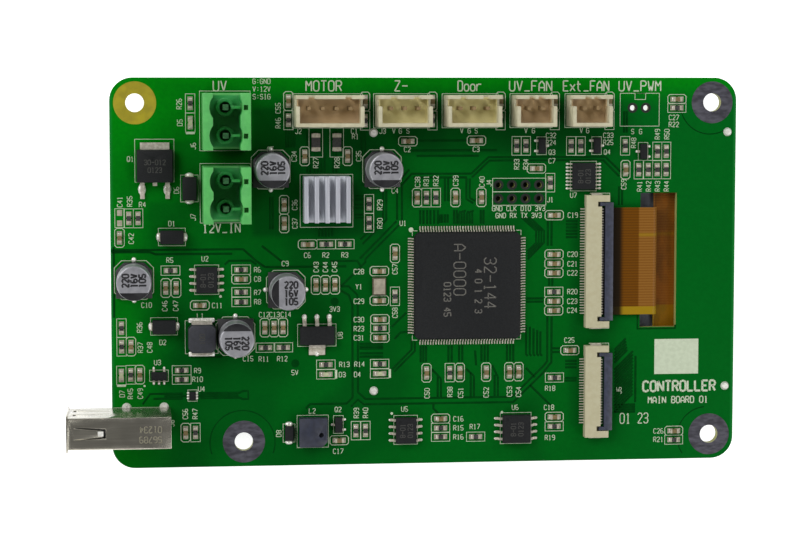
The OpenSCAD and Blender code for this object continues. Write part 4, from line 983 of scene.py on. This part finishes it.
class BOARD_OT_outlines(bpy.types.Operator):
    """Printed outlines round the parts"""
    bl_idname = "control_board.outlines"
    bl_label = "Part outlines"

    def execute(self, context):
        lines = []
        for node, cut in (("resistor_bodies", 0.0), ("ceramic_capacitor_bodies", 0.35),
                          ("indicator_leds", 0.0)):
            for place, turn, size in chip_places(node):
                large = max(size.x, size.y) > 1.7 * MM
                across_mm, along_mm = LARGE_CELL if large else SMALL_CELL
                lines.append(cell(*in_mm(place), turn, across_mm, along_mm, cut))
        for node, margin, cut in (("small_chip_bodies", 0.25, 0), ("diode_bodies", 0.3, 0),
                                  ("small_transistor_bodies", 0.2, 0),
                                  ("electrolytic_bases", 0.25, 1.3)):
            for place, _, size in chip_places(node):
                lines.append(cell(*in_mm(place), 0, size.y / MM + 2 * margin,
                                  size.x / MM + 2 * margin, cut))
        margins = [(node, 0.25) for node in WIRE_HEADERS]
        margins += [(node, 0.35) for node in TERMINAL_HEADERS]
        margins += [("buzzer", 0.3), ("regulator_body", 0.3), ("inductor_core", 0.5)]
        lines += [around(node, margin) for node, margin in margins]
        lines += PLACED_OUTLINES
        low, high = (in_mm(v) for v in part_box("microcontroller_body"))
        for x, dx in ((low[0] - 0.15, 1), (high[0] + 0.15, -1)):
            for y, dy in ((low[1] - 0.15, 1), (high[1] + 0.15, -1)):
                lines.append([(x + dx * 0.9, y), (x, y), (x, y + dy * 0.9)])
        for node in ("display_connector_housing", "panel_connector_housing"):
            (x0, y0), (x1, y1) = (in_mm(v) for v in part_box(node))
            lines += [[(x0 + 1, y0 - 0.3), (x1 + 0.3, y0 - 0.3), (x1 + 0.3, y0 + 1)],
                      [(x0 + 1, y1 + 0.3), (x1 + 0.3, y1 + 0.3), (x1 + 0.3, y1 - 1)]]
        lines.append(cell(*EMPTY_PLACE, 90, *SMALL_CELL))
        ink(lines, "part_outlines")
        bars = []
        for place, turn, size in chip_places("indicator_leds"):
            x, y = in_mm(place)
            bars.append([(x - 0.8, y - 1.95), (x + 0.8, y - 1.95)] if turn
                        else [(x + 1.95, y - 0.8), (x + 1.95, y + 0.8)])
        ink(bars, "lamp_bars", 0.34)
        block = box(WRITING_BLOCK, on_board(*WRITING_SPACE, 0.01))
        finish(block, "writing_space", "ink", smooth=0)
        dots = [disc(*dot, 0.0, 0.025) for dot in FIRST_PIN_DOTS]
        finish(joined(dots), "first_pin_dots", "ink", smooth=0)
        return {"FINISHED"}


class BOARD_OT_lettering(bpy.types.Operator):
    """Printed names of the connectors and numbers of the parts"""
    bl_idname = "control_board.lettering"
    bl_label = "Lettering"

    def execute(self, context):
        s = settings()
        large = []
        for word, x, y, tall, slim in LARGE_LABELS:
            large += lettering(word, x, y, tall * mm(s.large_letter), 0, slim)
        ink(large, "connector_names", mm(s.large_width))
        height = mm(s.small_letter)
        small = [stroke for label in SMALL_LABELS for stroke in lettering(*label, height)]
        for letter, (level, upright) in NUMBERS.items():
            places = [(x, y, 0) for x, y in level] + [(x, y, 90) for x, y in upright]
            for number, (x, y, turn) in enumerate(places, 1):
                small += lettering(f"{letter}{number}", x, y, height, turn)
        ink(small, "part_numbers", mm(s.letter_width))
        ink(lettering(*DATE_CODE, 1.9, 0, 0.8), "board_number", 0.2)
        for number, (word, x, y, tall, width) in enumerate(BOARD_NAMES):
            ink(lettering(word, x, y, tall), f"board_name_{number}", width)
        return {"FINISHED"}


# ---------------------------------------------------------------- small parts

CAP_REACH = 0.25        # middle of a plated end beyond a chip part's body, in millimetres


class BOARD_OT_chip_parts(bpy.types.Operator):
    """Chip resistors, capacitors and lamps with their plated ends and solder fillets"""
    bl_idname = "control_board.chip_parts"
    bl_label = "Chip parts"

    def execute(self, context):
        cover("glaze", "resistor_bodies")
        cover("capacitor", "ceramic_capacitor_bodies")
        cover("lens", "indicator_leds")
        cover("end_cap", "chip_part_end_caps")
        reach = mm(settings().fillet)
        places = []
        for node in ("resistor_bodies", "ceramic_capacitor_bodies", "indicator_leds"):
            for place, turn, size in chip_places(node):
                half = max(size.x, size.y) / 2 + CAP_REACH * MM
                step = Vector((0, half, 0)) if turn else Vector((half, 0, 0))
                places += [(place + step, turn), (place - step, turn)]
        land = box((0.55 + 2 * reach, 1.0, 0.03), (0, 0, 0.000015))
        taper(land, 0.00001, (0.92, 0.94, 1))
        bare = [(on_board(EMPTY_PLACE[0], EMPTY_PLACE[1] + y), 90) for y in (-0.95, 0.95)]
        finish(scattered(land, places + bare), "chip_lands", "land", smooth=0)
        marks = [(Vector((place.x, place.y, FACE_Z + size.z)), turn)
                 for place, turn, size in chip_places("resistor_bodies")]
        finish(scattered(box((0.42, 0.34, 0.012), (0, 0, 0)), marks), "resistor_marks",
               "print_grey", smooth=0)
        fillet = box((0.5 + reach, 0.86, 0.36), (0, 0, 0.00018))
        taper(fillet, 0.0001, (0.45, 0.8, 1))
        bevel(fillet, 0.06, 1)
        finish(scattered(fillet, places), "chip_fillets", "solder", smooth=50)
        return {"FINISHED"}


def bead(length_mm, width_mm, height_mm):
    """A low dome of solder whose outer end is a quarter of its length beyond the lead's."""
    bpy.ops.object.select_all(action="DESELECT")
    bpy.ops.mesh.primitive_uv_sphere_add(segments=12, ring_count=8, radius=0.5)
    bpy.ops.object.mode_set(mode="EDIT")
    bpy.ops.mesh.select_all(action="SELECT")
    bpy.ops.mesh.bisect(plane_co=(0, 0, 0), plane_no=(0, 0, 1), use_fill=True, clear_inner=True)
    bpy.ops.mesh.select_all(action="SELECT")
    bpy.ops.transform.resize(value=(length_mm * MM, width_mm * MM, 2 * height_mm * MM),
                             center_override=(0, 0, 0))
    bpy.ops.transform.translate(value=(-0.25 * length_mm * MM, 0, 0))
    bpy.ops.object.mode_set(mode="OBJECT")
    return active()


def beads(name, leads, bodies, size):
    """Solder at the outer end of each lead of a node."""
    made = scattered(bead(*size), toes(leads, bodies))
    return finish(made, name, "solder", smooth=60)


# Words, their places from the package's middle and their height
MICROCONTROLLER_ROWS = [("32-144", 4.2, 0.5, 2.2), ("4 0 1 2 3", 2, -1, 1.25),
                        ("A-0000", -1.5, 3, 2.2), ("0123 45", -3.8, -2.5, 1.25)]


class BOARD_OT_microcontroller(bpy.types.Operator):
    """The microcontroller: its body, its leads and their lands"""
    bl_idname = "control_board.microcontroller"
    bl_label = "Microcontroller"

    def execute(self, context):
        renew("microcontroller_body", "microcontroller", 0.1, "epoxy")
        cover("tin", "microcontroller_leads")
        low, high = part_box("microcontroller_body")
        top = (high.z - FACE_Z) / MM
        x, y = in_mm((low + high) / 2)
        marks = []
        for word, across, along, height in MICROCONTROLLER_ROWS:
            marks += lettering(word, x + across, y + along, height, -90)
        ink(marks, "microcontroller_mark", 0.22, "print_grey", top, 0.01)
        return {"FINISHED"}


# Name, leads, bodies, and each bead's length, width and height in millimetres
LEAD_SOLDER = [
    ("small_transistor_solder", "small_transistor_leads", "small_transistor_bodies",
     (0.5, 0.5, 0.2)),
    ("regulator_solder", "regulator_leads", "regulator_body", (1.1, 0.95, 0.3)),
    ("diode_solder", "diode_leads", "diode_bodies", (0.9, 1.5, 0.45)),
]
LAMP_LEGS = [(-52.35, 14.9), (-47.75, 14.9)]        # ends of the lamp transistor's legs


def top_mark(low, high, words, turn):
    """Rows of faint characters in the middle of a package's upper face."""
    x, y = in_mm((low + high) / 2)
    lines = []
    for row, word in enumerate(words):
        off = (len(words) - 1) * 0.7 - 1.4 * row
        along, across = (-off, 0) if turn else (0, off)
        lines += lettering(word, x + along, y + across, 0.9, turn)
    return drawn(lines, 0.16, (high.z - FACE_Z) / MM, 0.01)


class BOARD_OT_small_packages(bpy.types.Operator):
    """Small chips, transistors, the regulator and the motor driver"""
    bl_idname = "control_board.small_packages"
    bl_label = "Small packages"

    def execute(self, context):
        for node, name in (("small_chip_bodies", "small_chips"),
                           ("small_transistor_bodies", "small_transistors"),
                           ("regulator_body", "regulator"),
                           ("motor_driver_chip", "motor_driver"),
                           ("lamp_transistor_body", "lamp_transistor"),
                           ("diode_bodies", "power_diodes")):
            renew(node, name, 0.07, "epoxy")
        cover("tin", "small_chip_leads", "small_transistor_leads", "regulator_leads",
              "diode_leads", "lamp_transistor_metal")
        for piece in LEAD_SOLDER:
            beads(*piece)
        blobs = [(on_board(*place), 270) for place in LAMP_LEGS]
        finish(scattered(bead(2.3, 1.45, 0.45), blobs), "lamp_transistor_solder", "solder",
               smooth=60)
        beads("chip_solder", "small_chip_leads", "small_chip_bodies", (0.6, 0.42, 0.18))
        marks = []
        for node, words, turn in (("small_chip_bodies", ("8-01", "0123"), 90),
                                  ("lamp_transistor_body", ("30-012", "0123"), 0),
                                  ("inductor_core", ("100",), 90)):
            for low, high in islands(node):
                if min(high.x - low.x, high.y - low.y) > 2.5 * MM:
                    marks.append(top_mark(low, high, words, turn))
        finish(joined(marks), "package_marks", "soft_mark", smooth=0)
        return {"FINISHED"}


# ---------------------------------------------------------------- larger parts

def half_moon(radius, flat, place, turn):
    """A thin printed segment of a circle; flat is how far its straight edge is from the middle."""
    bpy.ops.object.select_all(action="DESELECT")
    bpy.ops.mesh.primitive_circle_add(vertices=64, radius=radius, fill_type="NGON")
    bpy.ops.object.mode_set(mode="EDIT")
    bpy.ops.mesh.select_all(action="SELECT")
    bpy.ops.mesh.bisect(plane_co=(0, -flat, 0), plane_no=(0, 1, 0), use_fill=False,
                        clear_outer=True)
    made = raised(0.02)
    made.location = place
    made.rotation_euler = (0, 0, math.radians(turn))
    return made


# Where a can's printed segment is not towards -Y: place, turn of the segment, of its words
CAN_TURNS = [(-26.2, -3.1, -90, 0), (-35.5, -11.6, 180, -90)]
CAN_WORDS = ("220", "16V", "105")


class BOARD_OT_electrolytics(bpy.types.Operator):
    """Aluminium capacitors with their printed tops"""
    bl_idname = "control_board.electrolytics"
    bl_label = "Aluminium capacitors"

    def execute(self, context):
        cover("can", "electrolytic_cans")
        renew("electrolytic_bases", "electrolytic_seats", 0.1, "black_plastic")
        cover("tin", "electrolytic_leads")
        beads("electrolytic_solder", "electrolytic_leads", "electrolytic_bases",
              (1.0, 0.9, 0.35))
        moons, lines = [], []
        for low, high in islands("electrolytic_cans"):
            middle = (low + high) / 2
            x, y = in_mm(middle)
            moon_turn, turn = next((t for a, b, *t in CAN_TURNS if math.hypot(x - a, y - b) < 1),
                                   (0, 90))
            radius = (high.x - low.x) / 2 - 0.08 * MM
            place = Vector((middle.x, middle.y, high.z))
            moons.append(half_moon(radius, 0.55 * radius, place, moon_turn))
            next_row = Vector((0, -1)) if turn == 0 else Vector((math.copysign(1, turn), 0))
            angle = math.radians(moon_turn)
            to_moon = Vector((math.sin(angle), -math.cos(angle)))
            for row, word in enumerate(CAN_WORDS):
                spot = Vector((x, y)) + (row - 1) * 1.5 * next_row - 0.5 * to_moon
                lines += lettering(word, spot.x, spot.y, 1.15, turn)
            top = (high.z - FACE_Z) / MM
        finish(joined(moons), "can_half_moons", "print_black", smooth=0)
        ink(lines, "can_numbers", 0.34, "print_black", top, 0.03)
        return {"FINISHED"}


class BOARD_OT_heatsink(bpy.types.Operator):
    """Finned heatsink on the motor driver"""
    bl_idname = "control_board.heatsink"
    bl_label = "Heatsink"

    def execute(self, context):
        renew("heatsink", "finned_heatsink", 0.12, "sink")
        cover("tape", "heatsink_tape")
        return {"FINISHED"}


class BOARD_OT_wire_headers(bpy.types.Operator):
    """Cream headers for the motor, switches and fans"""
    bl_idname = "control_board.wire_headers"
    bl_label = "Wire headers"

    def execute(self, context):
        width = mm(settings().mould_radius)
        for node in WIRE_HEADERS:
            renew(node, node + "_moulding", width, node)
        cover("pins", "wire_header_pins")
        return {"FINISHED"}


class BOARD_OT_terminal_headers(bpy.types.Operator):
    """Green headers for the lamp and the power supply"""
    bl_idname = "control_board.terminal_headers"
    bl_label = "Terminal headers"

    def execute(self, context):
        for node in TERMINAL_HEADERS:
            renew(node, node + "_moulding", 0.15, node)
        cover("well_pins", "terminal_header_pins")
        return {"FINISHED"}


USB_LIP = 0.45       # how far the lip at the mouth stands out, in millimetres


class BOARD_OT_usb_socket(bpy.types.Operator):
    """Steel USB socket with its plastic tongue"""
    bl_idname = "control_board.usb_socket"
    bl_label = "USB socket"

    def execute(self, context):
        renew("usb_shell", "usb_folded_shell", 0.1, "usb_steel")
        renew("usb_insulator", "usb_tongue", 0.12, "black_plastic")
        cover("gold", "usb_contacts")
        low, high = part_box("usb_shell")
        x, y = in_mm(Vector((high.x, (low.y + high.y) / 2)))
        lines = lettering("01234", x - 3.7, y + 0.6, 1.1, 180)
        lines += lettering("56789", x - 3.7, y - 1.2, 1.1, 180)
        # the lip round the mouth stands higher than the shell's flat side
        flat = high.z - USB_LIP * MM
        ink(lines, "usb_digits", 0.2, "faint_mark", (flat - FACE_Z) / MM, 0.02)
        # end of the spring finger, in bright solder as a painted highlight
        finger_highlight = box((1.0, 0.9, 0.05), (low.x + 6.1 * MM, (low.y + high.y) / 2, flat))
        finish(finger_highlight, "usb_finger_tip_highlight", "solder", smooth=0)
        return {"FINISHED"}


class BOARD_OT_flex_connectors(bpy.types.Operator):
    """Flip-lock connectors, and the display's flex"""
    bl_idname = "control_board.flex_connectors"
    bl_label = "Flex connectors"

    def execute(self, context):
        for name in ("display", "panel"):
            connector = f"{name}_connector"
            renew(f"{connector}_housing", f"{name}_socket_housing", 0.05, "cream",
                  segments=1)
            renew(f"{connector}_lock", f"{name}_lock_bar", 0.08, "dark_nylon",
                  f"{name}_lock")
            cover("tin", f"{connector}_contacts", f"{connector}_anchors")
        cover("flex", "display_flex")
        return {"FINISHED"}


class BOARD_OT_display(bpy.types.Operator):
    """Touch display on the back of the board"""
    bl_idname = "control_board.display"
    bl_label = "Display"

    def execute(self, context):
        cover("tray", "display_tray")
        cover("guide", "display_light_guide")
        cover("lens", "display_backlight_leds")
        cover("glass", "display_cell")
        cover("foam", "display_touch_adhesive", "display_foam_tape")
        renew("display_touch_glass", "touch_glass", 0.15, "glass", segments=3)
        return {"FINISHED"}


class BOARD_OT_other_parts(bpy.types.Operator):
    """Inductor, buzzer and crystal"""
    bl_idname = "control_board.other_parts"
    bl_label = "Inductor, buzzer and crystal"

    def execute(self, context):
        renew("inductor_core", "inductor", 0.2, "ferrite", segments=3)
        cover("tin", "inductor_terminals")
        low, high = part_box("inductor_terminals")
        x = (low.x + high.x) / 2
        solder = joined([box((4.8, 0.9, 0.5), (x, y, FACE_Z + 0.25 * MM))
                         for y in (low.y - 0.05 * MM, high.y + 0.05 * MM)])
        bevel(solder, 0.2, 2)
        finish(solder, "inductor_solder", "solder", smooth=50)
        renew("buzzer", "sounder", 0.15, "buzzer")
        cover("ceramic", "crystal_base")
        cover("lid", "crystal_lid")
        return {"FINISHED"}


OPERATORS = (
    BOARD_OT_stage, BOARD_OT_circuit_board, BOARD_OT_outlines, BOARD_OT_lettering,
    BOARD_OT_chip_parts, BOARD_OT_microcontroller, BOARD_OT_small_packages,
    BOARD_OT_electrolytics, BOARD_OT_heatsink, BOARD_OT_wire_headers,
    BOARD_OT_terminal_headers, BOARD_OT_usb_socket, BOARD_OT_flex_connectors,
    BOARD_OT_display, BOARD_OT_other_parts,
)


class BOARD_PT_panel(bpy.types.Panel):
    """Lists the sizes and the pieces"""
    bl_idname = "BOARD_PT_panel"
    bl_label = "Control board"
    bl_space_type = "VIEW_3D"
    bl_region_type = "UI"
    bl_category = "Board"

    def draw(self, context):
        for name in ControlBoardSettings.__annotations__:
            self.layout.prop(context.scene.control_board, name)
        for operator in OPERATORS:
            self.layout.operator(operator.bl_idname)


CLASSES = (ControlBoardSettings, *OPERATORS, BOARD_PT_panel)


def register():
    for made in CLASSES:
        bpy.utils.register_class(made)
    bpy.types.Scene.control_board = bpy.props.PointerProperty(type=ControlBoardSettings)


def unregister():
    del bpy.types.Scene.control_board
    for made in reversed(CLASSES):
        bpy.utils.unregister_class(made)


def main():
    register()
    for operator in OPERATORS:
        group, name = operator.bl_idname.split(".")
        getattr(getattr(bpy.ops, group), name)()
    bpy.context.view_layer.update()


if __name__ == "__main__":
    main()
